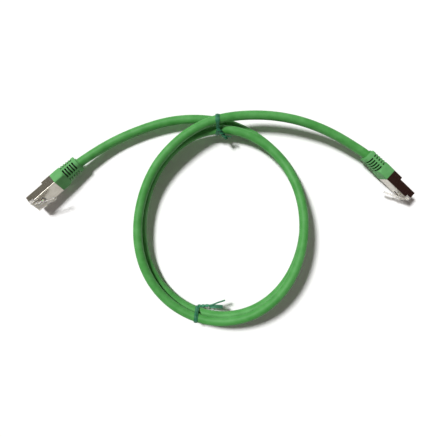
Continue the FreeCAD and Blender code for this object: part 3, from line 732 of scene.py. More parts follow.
@dataclass(frozen=True)
class Studio:
    """A camera that looks straight down on a pale floor, under one soft key light and a dim room.

    Attributes:
        camera_height: the camera's height above the floor, in metres.
        nadir: the point of the floor below the camera.
        focal_pixels: the focal length in pixels of the photograph.
        image_pixels: the photograph's width and height.
        sensor_width: the camera's sensor, in millimetres.
        light_travel: the direction in which the key light travels.
        key_strength: the key light's strength.
        key_softness: the key light's angular size, in degrees.
        room_strength: the strength of the light from the room.
        room_colour: the colour of that light.
        gloss_stops: what gloss sees of the room, as the sine of the elevation and the colour there.
        floor_size: the floor's length and width, in metres.
        floor_colour: its colour.
    """

    camera_height: float = 0.330
    nadir: tuple[float, float] = (-0.0023, -0.0002)
    focal_pixels: float = 468.6
    image_pixels: float = 437.0
    sensor_width: float = 36.0
    light_travel: Triple = (0.471, -0.391, -1.0)
    key_strength: float = 3.55
    key_softness: float = 10.5
    room_strength: float = 0.125
    room_colour: Colour = (1.03, 0.92, 0.88)
    gloss_stops: tuple[tuple[float, Colour], ...] = (
        (0.0, (0.90, 0.87, 0.82)), (0.25, (0.205, 0.195, 0.155)), (0.50, (0.085, 0.070, 0.065)),
        (0.80, (0.042, 0.009, 0.006)))
    floor_size: float = 4.0
    floor_colour: Colour = (0.97, 0.97, 0.97)

    def build(self) -> None:
        """Make the camera, the lights and the floor."""
        self.make_camera()
        self.make_key()
        self.make_room()
        self.make_floor()

    def make_camera(self) -> None:
        """A camera above the nadir, with the photograph's field of view."""
        lens = bpy.data.cameras.new("Camera")
        lens.sensor_width = self.sensor_width
        lens.lens = self.sensor_width * self.focal_pixels / self.image_pixels
        lens.clip_start = 0.01
        camera = add_object("Camera", lens)
        camera.location = (*self.nadir, self.camera_height)
        bpy.context.scene.camera = camera

    def make_key(self) -> None:
        """A distant lamp that travels along light_travel."""
        lamp = bpy.data.lights.new("Key", "SUN")
        lamp.energy = self.key_strength
        lamp.angle = math.radians(self.key_softness)
        key = add_object("Key", lamp)
        x, y, z = self.light_travel
        level = math.hypot(x, y)
        key.rotation_euler = (math.atan2(level, -z), 0.0, math.atan2(y, x) - math.pi / 2)

    def make_room(self) -> None:
        """A dim room for diffuse light, a dark ceiling that only gloss sees, and a white backdrop."""
        world = bpy.data.worlds.new("Room")
        bpy.context.scene.world = world
        world.use_nodes = True
        board = NodeBoard(world.node_tree)
        direction = board.add("ShaderNodeTexCoord").outputs["Generated"]
        elevation = board.add("ShaderNodeSeparateXYZ", {"Vector": direction}).outputs["Z"]
        ceiling = board.blend_colours(elevation, self.gloss_stops)
        room_feeds = {"Color": (*self.room_colour, 1.0), "Strength": self.room_strength}
        room = board.add("ShaderNodeBackground", room_feeds).outputs["Background"]
        gloss = board.add("ShaderNodeBackground", {"Color": ceiling}).outputs["Background"]
        white_feeds = {"Color": (1.0, 1.0, 1.0, 1.0)}
        backdrop = board.add("ShaderNodeBackground", white_feeds).outputs["Background"]
        rays = board.add("ShaderNodeLightPath").outputs
        indoors = board.add("ShaderNodeMixShader", {"Fac": rays["Is Glossy Ray"], 1: room, 2: gloss})
        seen = board.combine("MAXIMUM", rays["Is Camera Ray"], rays["Is Transmission Ray"])
        whole = board.add("ShaderNodeMixShader", {"Fac": seen, 1: indoors.outputs["Shader"], 2: backdrop})
        board.add("ShaderNodeOutputWorld", {"Surface": whole.outputs["Shader"]})

    def make_floor(self) -> None:
        """A flat white floor at z = 0."""
        half = self.floor_size / 2
        corners = [(-half, -half, 0.0), (half, -half, 0.0), (half, half, 0.0), (-half, half, 0.0)]
        mesh = bpy.data.meshes.new("Floor")
        mesh.from_pydata(corners, [], [(0, 1, 2, 3)])
        floor = add_object("Floor", mesh)
        sheet = NodeSheet("floor_white")
        shader = sheet.add("ShaderNodeBsdfDiffuse", {"Color": (*self.floor_colour, 1.0)})
        sheet.add("ShaderNodeOutputMaterial", {"Surface": shader.outputs["BSDF"]})
        dress(floor, sheet.material)


# The cable


@dataclass
class Cable:
    """The whole cable as one free cord, from crimp to crimp, with its screen and pairs inside.

    The free stretches are listed points. The turns follow two formulas of the bearing: the radius
    is a mean, a drift and four waves, and the first turn's height is a mean and four waves plus a smooth
    climb. A bell lowers the end of the first turn, and another one pulls it outward under the upper tie.
    The rest lies on the first turn, a diameter and a small gap away from it. Metres and degrees.

    Attributes:
        diameter: the jacket's outer diameter.
        loop_centre: the turns' centre, seen from above.
        loop_radius: the turns' mean radius.
        loop_drift: how much the radius grows in one turn.
        drift_start: the bearing where it has that mean.
        loop_oval: the radius's waves: each one's height, number in a turn and bearing of its crest.
        loop_height: the mean height of the first turn's axis.
        loop_lift: the height's waves, given as the radius's.
        turn_gap: the gap between the jackets of two turns.
        first_bearing: the bearing of the turns' first point.
        last_bearing: that of their last one.
        bearing_step: the bearing from point to point.
        climb: the bearings between which the first turn climbs onto itself.
        low_stretch: where the end of the first turn hangs lower than its waves: the middle bearing, the
            degrees to each side and the drop.
        tie_pull: where the upper tie pulls the first turn outward: the same three values.
        left_points: the route from the left crimp to the turns.
        right_points: the route from the turns to the right crimp.
        screen_radius: the screen's mean outer radius.
        screen_step: the distance between its rings.
        screen_columns: the points of a ring.
        strand_waves: the braid's waves round the tube.
        strand_height: their height.
        pair_offset: a pair's distance from the cable's axis.
        pair_lay: the length over which the pairs wind once round that axis.
        pair_step: the distance between a pair's rings.
        pair_twist: the length over which the first pair's wires wind once round each other.
        twist_growth: how much longer that is from pair to pair.
        wire_offset: a wire's distance from its pair's middle.
        wire_radius: its radius.
        path: points along the finished cable's axis.
    """

    diameter: float = 0.0062
    loop_centre: tuple[float, float] = (-0.0002, -0.0045)
    loop_radius: float = 0.05878
    loop_drift: float = 0.00102
    drift_start: float = 60.0
    loop_oval: tuple[Triple, ...] = (
        (0.0046, 2.0, 83.9), (0.0009, 0.5, 112.6), (0.00075, 1.5, 18.3), (0.0002, 3.0, 85.8))
    loop_height: float = 0.00885
    loop_lift: tuple[Triple, ...] = (
        (0.0027, 1.0, -10.0), (0.0038, 2.0, -35.0), (0.0010, 3.0, -16.0), (0.0016, 4.0, 18.0))
    turn_gap: float = 0.0004
    first_bearing: float = 45.0
    last_bearing: float = -600.0
    bearing_step: float = 15.0
    climb: tuple[float, float] = (-240.0, -300.0)
    low_stretch: Triple = (-235.0, 42.0, 0.0050)
    tie_pull: Triple = (-258.0, 58.0, 0.0014)
    left_points: tuple[Triple, ...] = (
        (-0.0776, 0.0517, 0.0066), (-0.0570, 0.0609, 0.0067), (-0.0360, 0.0671, 0.0077),
        (-0.0155, 0.0685, 0.0076), (0.0030, 0.0661, 0.0061), (0.0195, 0.0597, 0.0040),
        (0.0322, 0.0507, 0.0036))
    right_points: tuple[Triple, ...] = (
        (-0.0215, 0.0578, 0.0180), (-0.0097, 0.0640, 0.0179), (0.0025, 0.0673, 0.0178),
        (0.0175, 0.0693, 0.0159), (0.0350, 0.0687, 0.0166), (0.0540, 0.0650, 0.0166),
        (0.0745, 0.0575, 0.0140))
    screen_radius: float = 0.00242
    screen_step: float = 0.0012
    screen_columns: int = 32
    strand_waves: int = 8
    strand_height: float = 0.00003
    pair_offset: float = 0.00118
    pair_lay: float = 0.09
    pair_step: float = 0.0015
    pair_twist: float = 0.012
    twist_growth: float = 0.0015
    wire_offset: float = 0.0004
    wire_radius: float = 0.00038
    path: Array = field(default_factory=lambda: np.zeros((0, 3)))

    def bell(self, bearing: Array, shape: Triple) -> Array:
        """A smooth bump, size * (1 + cos(pi * distance / reach)) / 2 within its reach and 0 beyond.

        Args:
            bearing: degrees.
            shape: the middle bearing, the reach to each side and the size.

        Returns:
            The bump's value at each bearing.
        """
        middle, reach, size = shape
        share = np.clip(np.abs(bearing - middle) / reach, 0.0, 1.0)
        return size * (1 + np.cos(math.pi * share)) / 2

    def radius_at(self, bearing: Array) -> Array:
        """The turns' radius: mean + drift * turns with the oval's waves, and the tie's bell on top.

        Args:
            bearing: degrees, falling by 360 each clockwise turn.

        Returns:
            The radius in metres at each bearing.
        """
        turns = (self.drift_start - bearing) / 360.0
        radius = with_waves(self.loop_radius + self.loop_drift * turns, self.loop_oval, bearing)
        return radius + self.bell(bearing, self.tie_pull)

    def stack_at(self, bearing: Array) -> Array:
        """How far a turn lies above the one before: the root of apart squared less side step squared."""
        side_step = self.radius_at(bearing) - self.radius_at(bearing + 360.0)
        return np.sqrt((self.diameter + self.turn_gap) ** 2 - side_step ** 2)

    def height_at(self, bearing: Array) -> Array:
        """The axis's height: waves and a climb on the first turn, and one stack more on the second.

        Args:
            bearing: degrees, falling by 360 each clockwise turn.

        Returns:
            The height in metres at each bearing.
        """
        second = bearing < self.climb[1]
        first_bearing = np.where(second, bearing + 360.0, bearing)
        height = with_waves(self.loop_height, self.loop_lift, first_bearing)
        start, end = self.climb
        share = np.clip((first_bearing - start) / (end - start), 0.0, 1.0)
        rise = eased(share) * self.stack_at(np.array(end))
        change = np.where(second, self.stack_at(bearing), -self.bell(bearing, self.low_stretch))
        return height + rise + change

    def turn_points(self) -> Array:
        """Control points of the turns, set outward so that the smooth line through them has the radius.

        A quadratic spline passes inside its points by an eighth of the step's second difference, which
        is (1 - cos step) / 4 of the radius.

        Returns:
            The points in metres.
        """
        count = int(round((self.first_bearing - self.last_bearing) / self.bearing_step)) + 1
        bearing = np.linspace(self.first_bearing, self.last_bearing, count)
        inside = (1.0 - math.cos(math.radians(self.bearing_step))) / 4.0
        radius = self.radius_at(bearing) / (1.0 - inside)
        angle = np.radians(bearing)
        x = self.loop_centre[0] + radius * np.cos(angle)
        y = self.loop_centre[1] + radius * np.sin(angle)
        return np.stack([x, y, self.height_at(bearing)], axis=1)

    def route(self, ends: dict[Side, Array]) -> Array:
        """All control points, from the left crimp to the right one."""
        parts = [ends[Side.LEFT], np.array(self.left_points), self.turn_points(),
                 np.array(self.right_points), ends[Side.RIGHT][::-1]]
        return np.concatenate(parts)

    def make_curve(self, name: str, points: Array, thickness: float) -> Piece:
        """One open smooth spline.

        Args:
            name: the object's name.
            points: its control points.
            thickness: the tube's radius, or 0 for a bare line.

        Returns:
            The curve object.
        """
        curve = bpy.data.curves.new(name, "CURVE")
        curve.dimensions = "3D"
        spline = curve.splines.new("NURBS")
        spline.points.add(len(points) - 1)
        places = np.concatenate([points, np.ones((len(points), 1))], axis=1)
        spline.points.foreach_set("co", places.ravel())
        spline.order_u = 3
        spline.use_endpoint_u = True
        spline.resolution_u = 8
        curve.bevel_depth = thickness
        curve.bevel_resolution = 7
        curve.use_fill_caps = thickness > 0
        return add_object(name, curve)

    def build(self, ends: dict[Side, Array]) -> Piece:
        """Make the jacket, and the screen and pairs inside it.

        Args:
            ends: each side's crimp points.

        Returns:
            The jacket.
        """
        points = self.route(ends)
        jacket = self.make_curve("Cable", points, self.diameter / 2)
        line = self.make_curve("Line", points, 0.0)
        mesh = bpy.data.meshes.new_from_object(line)
        path = np.zeros(3 * len(mesh.vertices))
        mesh.vertices.foreach_get("co", path)
        self.path = path.reshape(-1, 3)
        bpy.data.objects.remove(line)
        bpy.data.meshes.remove(mesh)
        settle(jacket, JACKET.build(),
               ["jacket_left_tail", "jacket_coil", "jacket_right_tail"])
        LOG.info("the cable is %.4f m long", along_lengths(self.path)[-1])
        self.make_screen()
        for number, name in enumerate(PAIR_COLOURS):
            self.make_pair(name, number)
        return jacket

    def inner_path(self, offset: float, pitch: float, phase: float, step: float) -> tuple[Array, Array]:
        """A line that winds round the cable's axis, at the angle phase + 2 pi * distance / pitch.

        Args:
            offset: the line's distance from the axis, in metres.
            pitch: the distance along the axis for one turn.
            phase: the angle at the start, in radians.
            step: the distance between points.

        Returns:
            The points, and at each the direction away from the axis.
        """
        length = along_lengths(self.path)[-1]
        axis = resampled(self.path, int(length / step))
        angle = phase + 2 * math.pi * np.linspace(0.0, length, len(axis)) / pitch
        return helix(axis, directions(axis), offset, angle)

    def make_screen(self) -> None:
        """The braided screen: a tube whose wall has the low relief of crossing strands.

        The outer radius is mean + height * sin(a + s) * sin(a - s), where a is strand_waves times the
        angle round the tube, and s grows by a quarter turn from ring to ring.
        """
        axis, _ = self.inner_path(offset=0.0, pitch=1.0, phase=0.0, step=self.screen_step)
        around = np.linspace(0.0, 2 * math.pi, self.screen_columns, endpoint=False)[None, :]
        waves = self.strand_waves * around
        along = np.arange(len(axis))[:, None] * (math.pi / 2)
        radius = self.screen_radius + self.strand_height * np.sin(waves + along) * np.sin(waves - along)
        outline = radius[:, :, None] * circle(1.0, self.screen_columns)
        grid = sweep(axis, np.broadcast_to(UP, axis.shape), outline)
        settle(piece_of_grids("Screen", [grid]), BRAID.build(), ["braided_screen"])

    def make_pair(self, name: str, number: int) -> None:
        """A twisted pair: two wires wound round each other, and the pair wound round the cable's axis.

        Args:
            name: the CAD node, which also names the pair's colour.
            number: the pair's place round the axis, 0 to 3.
        """
        start_angle = number * math.pi / 2
        twist = self.pair_twist + self.twist_growth * number
        centre, away = self.inner_path(self.pair_offset, self.pair_lay, start_angle, self.pair_step)
        side = np.cross(directions(centre), away)
        turn = (2 * math.pi * along_lengths(centre) / twist)[:, None]
        towards = away * np.cos(turn) + side * np.sin(turn)
        section = circle(self.wire_radius, 8)
        wires = [sweep(centre + offset * towards, towards, section)
                 for offset in (self.wire_offset, -self.wire_offset)]
        pair = piece_of_grids("%s_twisted" % name, wires, smooth_angle=50.0)
        settle(pair, PlasticFinish(name, PAIR_COLOURS[name]).build(), [name])


# The plugs


@dataclass(frozen=True)
class PlugPose:
    """Where a plug's own frame lies: x from the boot's joint to the nose, z towards the latch.

    Attributes:
        place: the joint's place, in millimetres.
        yaw: the nose's bearing, in degrees.
        pitch: how far the nose is lowered.
        roll: the turn about the plug's axis.
    """

    place: Triple
    yaw: float
    pitch: float
    roll: float

    def axes(self) -> Array:
        """The frame's axes, as the columns of the product of the yaw, pitch and roll turns."""
        roll, pitch, yaw = (turn_about(axis, angle) for axis, angle in enumerate(self.angles()))
        return yaw @ pitch @ roll

    def to_world(self, points: Array) -> Array:
        """Points in metres in the object's frame, from millimetres in the plug's."""
        return (points @ self.axes().T + np.array(self.place)) * MM

    def angles(self) -> Triple:
        """The turns about x, y and z, in radians."""
        return math.radians(self.roll), math.radians(self.pitch), math.radians(self.yaw)


@dataclass(frozen=True)
class BootRing:
    """One ring of a boot's outside, a rectangle with rounded corners. Millimetres.

    Attributes:
        x: the ring's place along the plug's axis.
        half_width: half its width.
        half_height: half its height.
        latch_corner: the radius of the two corners on the latch's side.
        contact_corner: the radius of the two corners on the contacts' side.
        sunk: how far the ring lies at the slots' floor where it isn't on a rib, 0 to 1.
    """

    x: float
    half_width: float
    half_height: float
    latch_corner: float
    contact_corner: float
    sunk: float = 0.0

    def sizes(self) -> Array:
        """The half width, the half height and the two corners' radii."""
        return np.array([self.half_width, self.half_height, self.latch_corner, self.contact_corner])

    def inset(self, x: float, depth: float) -> "BootRing":
        """The same outline elsewhere, smaller by a depth all round and by half of it in the corners."""
        sizes = self.sizes() - depth * np.array([1.0, 1.0, 0.5, 0.5])
        return BootRing(x, *sizes.tolist())

    def towards(self, other: "BootRing", share: float, size_share: float, sunk: float = 0.0) -> "BootRing":
        """A ring whose place and sizes are these shares of the way to another ring's."""
        sizes = self.sizes() + size_share * (other.sizes() - self.sizes())
        return BootRing(self.x + share * (other.x - self.x), *sizes.tolist(), sunk)


@dataclass
class Boot:
    """The moulded boot: a square front block that goes over into a slotted sleeve. Millimetres.

    Attributes:
        block: the ring where the block ends.
        sleeve: the ring where the sleeve starts.
        rear: the sleeve's ring at the rear end, before its rounding.
        axis_z: the height of the cable's axis in the plug's frame.
        edge: the rounding of the front and rear edges.
        slot_count: how many slots there are, one behind the other.
        slot_first: the first slot's distance from the front.
        slot_pitch: the distance from slot to slot.
        slot_width: a slot's width.
        rib_half: half the width of the ribs along the four sides.
        rib_offset: how far the ribs on the two narrow sides lie towards the contacts.
        core_radius: the radius of the slots' floor.
        slope: how far a rib's side leans over its height.
        bore_radius: the bore's radius, behind the plug's barrel.
        cavity_radius: the radius of the space for the barrel.
        cavity_length: that space's length.
        rim_radius: the radius of the rim round the cable.
        rim_length: how far the rim stands out at the rear.
        lip: the rounding of the small edges.
        shallow_start: how far towards the contacts' side a slot keeps its whole depth.
        shallow_depth: its depth from there on.
        slot_section: the rings over a slot: each one's place in slot widths, and how far it is sunk.
        block_rings: places of rings along the block.
        blend_shares: shares of the way from the block to the sleeve at which there are rings.
        edge_steps: the rings over the rounding of the front edge, and over that of the rear one.
        corner_steps: the points of a corner.
    """

    block: BootRing = BootRing(-6.6, 5.95, 4.2, 0.9, 0.9)
    sleeve: BootRing = BootRing(-8.2, 5.75, 4.2, 3.4, 1.0)
    rear: BootRing = BootRing(-19.65, 5.35, 4.05, 3.3, 1.6)
    axis_z: float = -0.8
    edge: float = 0.35
    slot_count: int = 5
    slot_first: float = 8.9
    slot_pitch: float = 2.0
    slot_width: float = 1.15
    rib_half: float = 0.72
    rib_offset: float = 0.5
    core_radius: float = 3.55
    slope: float = 0.10
    bore_radius: float = 3.2
    cavity_radius: float = 3.75
    cavity_length: float = 8.0
    rim_radius: float = 4.0
    rim_length: float = 0.5
    lip: float = 0.12
    shallow_start: float = 2.2
    shallow_depth: float = 0.5
    slot_section: tuple[tuple[float, float], ...] = (
        (0.5, 0.0), (0.44, 0.7), (0.4, 1.0), (-0.4, 1.0), (-0.44, 0.7), (-0.5, 0.0))
    block_rings: tuple[float, ...] = (-2.0, -4.0)
    blend_shares: tuple[float, ...] = (0.2, 0.4, 0.6, 0.8, 1.0)
    edge_steps: tuple[int, int] = (4, 5)
    corner_steps: int = 12

    def bearings(self) -> Array:
        """Directions round the axis at which each ring has a point, closer together at corners and ribs.

        They are the directions of points set along a quarter of the sleeve's outline, once with each of
        its corners, and mirrored into the other quarters.

        Returns:
            Angles in radians, rising from 0.
        """
        width, height = self.sleeve.half_width, self.sleeve.half_height
        rib_points = np.array([0.0, self.rib_half / 2, self.rib_half, self.rib_half + self.slope])
        rib_edges = rib_points[2:]
        groove_edges = [self.shallow_start, self.shallow_start + self.slope]
        side_points = np.concatenate([rib_edges - self.rib_offset, rib_edges + self.rib_offset, [0.0],
                                      groove_edges])
        quarters = [np.arctan2(side_points, width), np.arctan2(height, rib_points)]
        angle = np.linspace(0.0, math.pi / 2, self.corner_steps)
        for corner in (self.sleeve.latch_corner, self.sleeve.contact_corner):
            arc_y = width - corner + corner * np.cos(angle)
            arc_z = height - corner + corner * np.sin(angle)
            quarters.append(np.arctan2(arc_z, arc_y))
        quarter = np.unique(np.round(np.concatenate(quarters), 4))
        half = np.concatenate([quarter, math.pi - quarter])
        return np.unique(np.round(np.concatenate([half, half + math.pi]) % (2 * math.pi), 4))

    def reach(self, bearing: Array, ring: BootRing) -> Array:
        """The distance from the axis to a ring's outline along each bearing.

        The nearer of the two sides is taken, unless it is met beyond the corner's start; there the
        distance is the far root of the circle about the corner's centre.

        Args:
            bearing: angles in radians.
            ring: the ring.

        Returns:
            The distance along each bearing.
        """
        corner = np.where(np.sin(bearing) > 0, ring.latch_corner, ring.contact_corner)
        across = np.abs(np.cos(bearing))
        rise = np.abs(np.sin(bearing))
        straight = np.minimum(ring.half_width / np.maximum(across, 1e-9),
                              ring.half_height / np.maximum(rise, 1e-9))
        centre_y = ring.half_width - corner
        centre_z = ring.half_height - corner
        along = across * centre_y + rise * centre_z
        inside = along ** 2 - (centre_y ** 2 + centre_z ** 2 - corner ** 2)
        rounded = along + np.sqrt(np.maximum(inside, 0.0))
        in_corner = (straight * across > centre_y) & (straight * rise > centre_z)
        return np.where(in_corner, rounded, straight)

    def outer_rings(self) -> list[BootRing]:
        """The outside's rings from the front to the rear.

        The block's sizes go over into the sleeve's by an eased share, and those go evenly to the rear's.

        Returns:
            The rings.
        """
        rings = []
        front_steps, rear_steps = self.edge_steps
        for angle in np.linspace(0.0, math.pi / 2, front_steps):
            x = self.edge * (math.cos(angle) - 1)
            rings.append(self.block.inset(x, self.edge * (1 - math.sin(angle))))
        for x in (*self.block_rings, self.block.x):
            rings.append(self.block.inset(x, 0.0))
        for share in self.blend_shares:
            rings.append(self.block.towards(self.sleeve, share, eased(share)))
        for k in range(self.slot_count):
            middle = -self.slot_first - self.slot_pitch * k
            for offset, sunk in self.slot_section:
                x = middle + offset * self.slot_width
                share = (x - self.sleeve.x) / (self.rear.x - self.sleeve.x)
                rings.append(self.sleeve.towards(self.rear, share, share, sunk))
        for angle in np.linspace(0.0, math.pi / 2, rear_steps):
            x = self.rear.x - self.edge * math.sin(angle)
            rings.append(self.rear.inset(x, self.edge * (1 - math.cos(angle))))
        return rings

    def inner_rings(self) -> list[tuple[float, float]]:
        """The rim, the bore and the space for the barrel, from the rear to the front.

        Returns:
            Each ring's place along the axis and its radius.
        """
        rear = self.rear.x - self.edge
        end = rear - self.rim_length
        inner_end = -self.cavity_length
        lip = self.lip
        rim = [(rear, self.rim_radius + lip), (rear - lip, self.rim_radius),
               (end + lip, self.rim_radius), (end, self.rim_radius - lip)]
        bore = [(end, self.bore_radius + lip / 2), (end + lip / 2, self.bore_radius),
                (inner_end - lip / 2, self.bore_radius)]
        cavity = [(inner_end, self.cavity_radius), (-lip, self.cavity_radius),
                  (0.0, self.cavity_radius + lip)]
        return rim + bore + cavity

    def slot_depth(self, ring: BootRing, bearing: Array, reach: Array) -> Array:
        """How deep a ring lies in a slot: sunk * between ribs * floor.

        Between ribs is 0 on the ribs and 1 away from them. Floor is the depth down to the core, and near
        the contacts' side that of a shallow groove.

        Args:
            ring: the ring.
            bearing: angles in radians.
            reach: the distance from the axis to the ring's outline along each.

        Returns:
            The depth below the outline along each bearing.
        """
        off_middle = np.minimum(np.abs(reach * np.cos(bearing)),
                                np.abs(reach * np.sin(bearing) + self.rib_offset))
        between_ribs = np.clip((off_middle - self.rib_half) / self.slope, 0.0, 1.0)
        towards_contacts = -reach * np.sin(bearing) - self.shallow_start
        whole = np.maximum(reach - self.core_radius, 0.0)
        groove = np.minimum(whole, self.shallow_depth)
        floor = whole + np.clip(towards_contacts / self.slope, 0.0, 1.0) * (groove - whole)
        return ring.sunk * between_ribs * floor

    def surface(self) -> tuple[Array, Array]:
        """The whole boot as a closed grid: its outside, the rim, the bore and the space for the barrel.

        Returns:
            The grid in the plug's frame, and each point's depth in a slot, both in millimetres.
        """
        bearing = self.bearings()
        outer = self.outer_rings()
        inner = self.inner_rings()
        outlines = np.stack([self.reach(bearing, ring) for ring in outer])
        slots = np.stack([self.slot_depth(ring, bearing, reach) for ring, reach in zip(outer, outlines)])
        bores = np.array([radius for _, radius in inner])[:, None] * np.ones(len(bearing))
        out = np.concatenate([outlines - slots, bores])
        places = np.array([ring.x for ring in outer] + [x for x, _ in inner])
        along = np.broadcast_to(places[:, None], out.shape)
        grid = np.stack([along, out * np.cos(bearing), out * np.sin(bearing) + self.axis_z], axis=2)
        return grid, np.concatenate([slots, np.zeros(bores.shape)])

    def build(self, side: Side, pose: PlugPose) -> Piece:
        """Make one boot.

        Args:
            side: the cable's end.
            pose: where the plug lies.

        Returns:
            The boot.
        """
        name = "%s_boot" % side.value
        grid, depths = self.surface()
        boot = piece_of_grids("%s_moulded" % name, [pose.to_world(grid)], close_rows=True,
                              smooth_angle=30.0)
        # Each point's depth in a slot, from which the boot's material paints shade into the slots.
        carried = boot.data.attributes.new(SLOT_DEPTH, "FLOAT", "POINT")
        carried.data.foreach_set("value", depths.ravel())
        settle(boot, BOOT.build(), [name])
        return boot


@dataclass
class Plug:
    """One end: the CAD's shell, clear body, contacts, inner pieces and latch, dressed, and a new boot.

    Attributes:
        side: the cable's end.
        pose: where it lies.
        boot: the boot's sizes.
        jacket_end: where the jacket ends in the barrel, in millimetres along the plug's axis.
        boot_hold: where the boot holds the cable.
        exit_run: a place just behind the boot.
        fold_gloss: the roughness that the shell's folds have on top of the rest.
    """

    side: Side
    pose: PlugPose
    boot: Boot = field(default_factory=Boot)
    jacket_end: float = -3.0
    boot_hold: float = -18.0
    exit_run: float = -22.8
    fold_gloss: float = 0.12

    def crimp_points(self) -> Array:
        """The cable's end, a point where the boot holds it and one just behind the boot, in metres."""
        places = [(x, 0.0, self.boot.axis_z) for x in (self.jacket_end, self.boot_hold, self.exit_run)]
        return self.pose.to_world(np.array(places))

    def finishes(self) -> dict[str, bpy.types.Material]:
        """The materials of the CAD nodes that show as they are.

        Returns:
            Each node's name without its side, and its material.
        """
        nickel = BrushedMetalFinish("%s_nickel" % self.side.value, NICKEL_CLEAN, NICKEL_WORN, gloss=0.22,
                                    turn=self.pose.angles(), fold_gloss=self.fold_gloss)
        return {
            "shield_shell": nickel.build(),
            "plug_body": CLEAR_BODY.build(),
            "latch": CLEAR_LATCH.build(),
            "contacts": GOLD.build(),
            "load_bar": LOAD_BAR.build(),
            "wire_ends": INSULATION.build(),
            "braid_collar": BRAID.build(),
        }

    def build(self) -> list[Piece]:
        """Dress the CAD nodes and make the boot.

        Returns:
            The plug's pieces.
        """
        pieces = [self.boot.build(self.side, self.pose)]
        for node, material in self.finishes().items():
            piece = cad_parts["%s_%s" % (self.side.value, node)]
            dress(piece, material)
            pieces.append(piece)
            LOG.info("%s keeps its CAD shape", piece.name)
        return pieces


# The twist ties


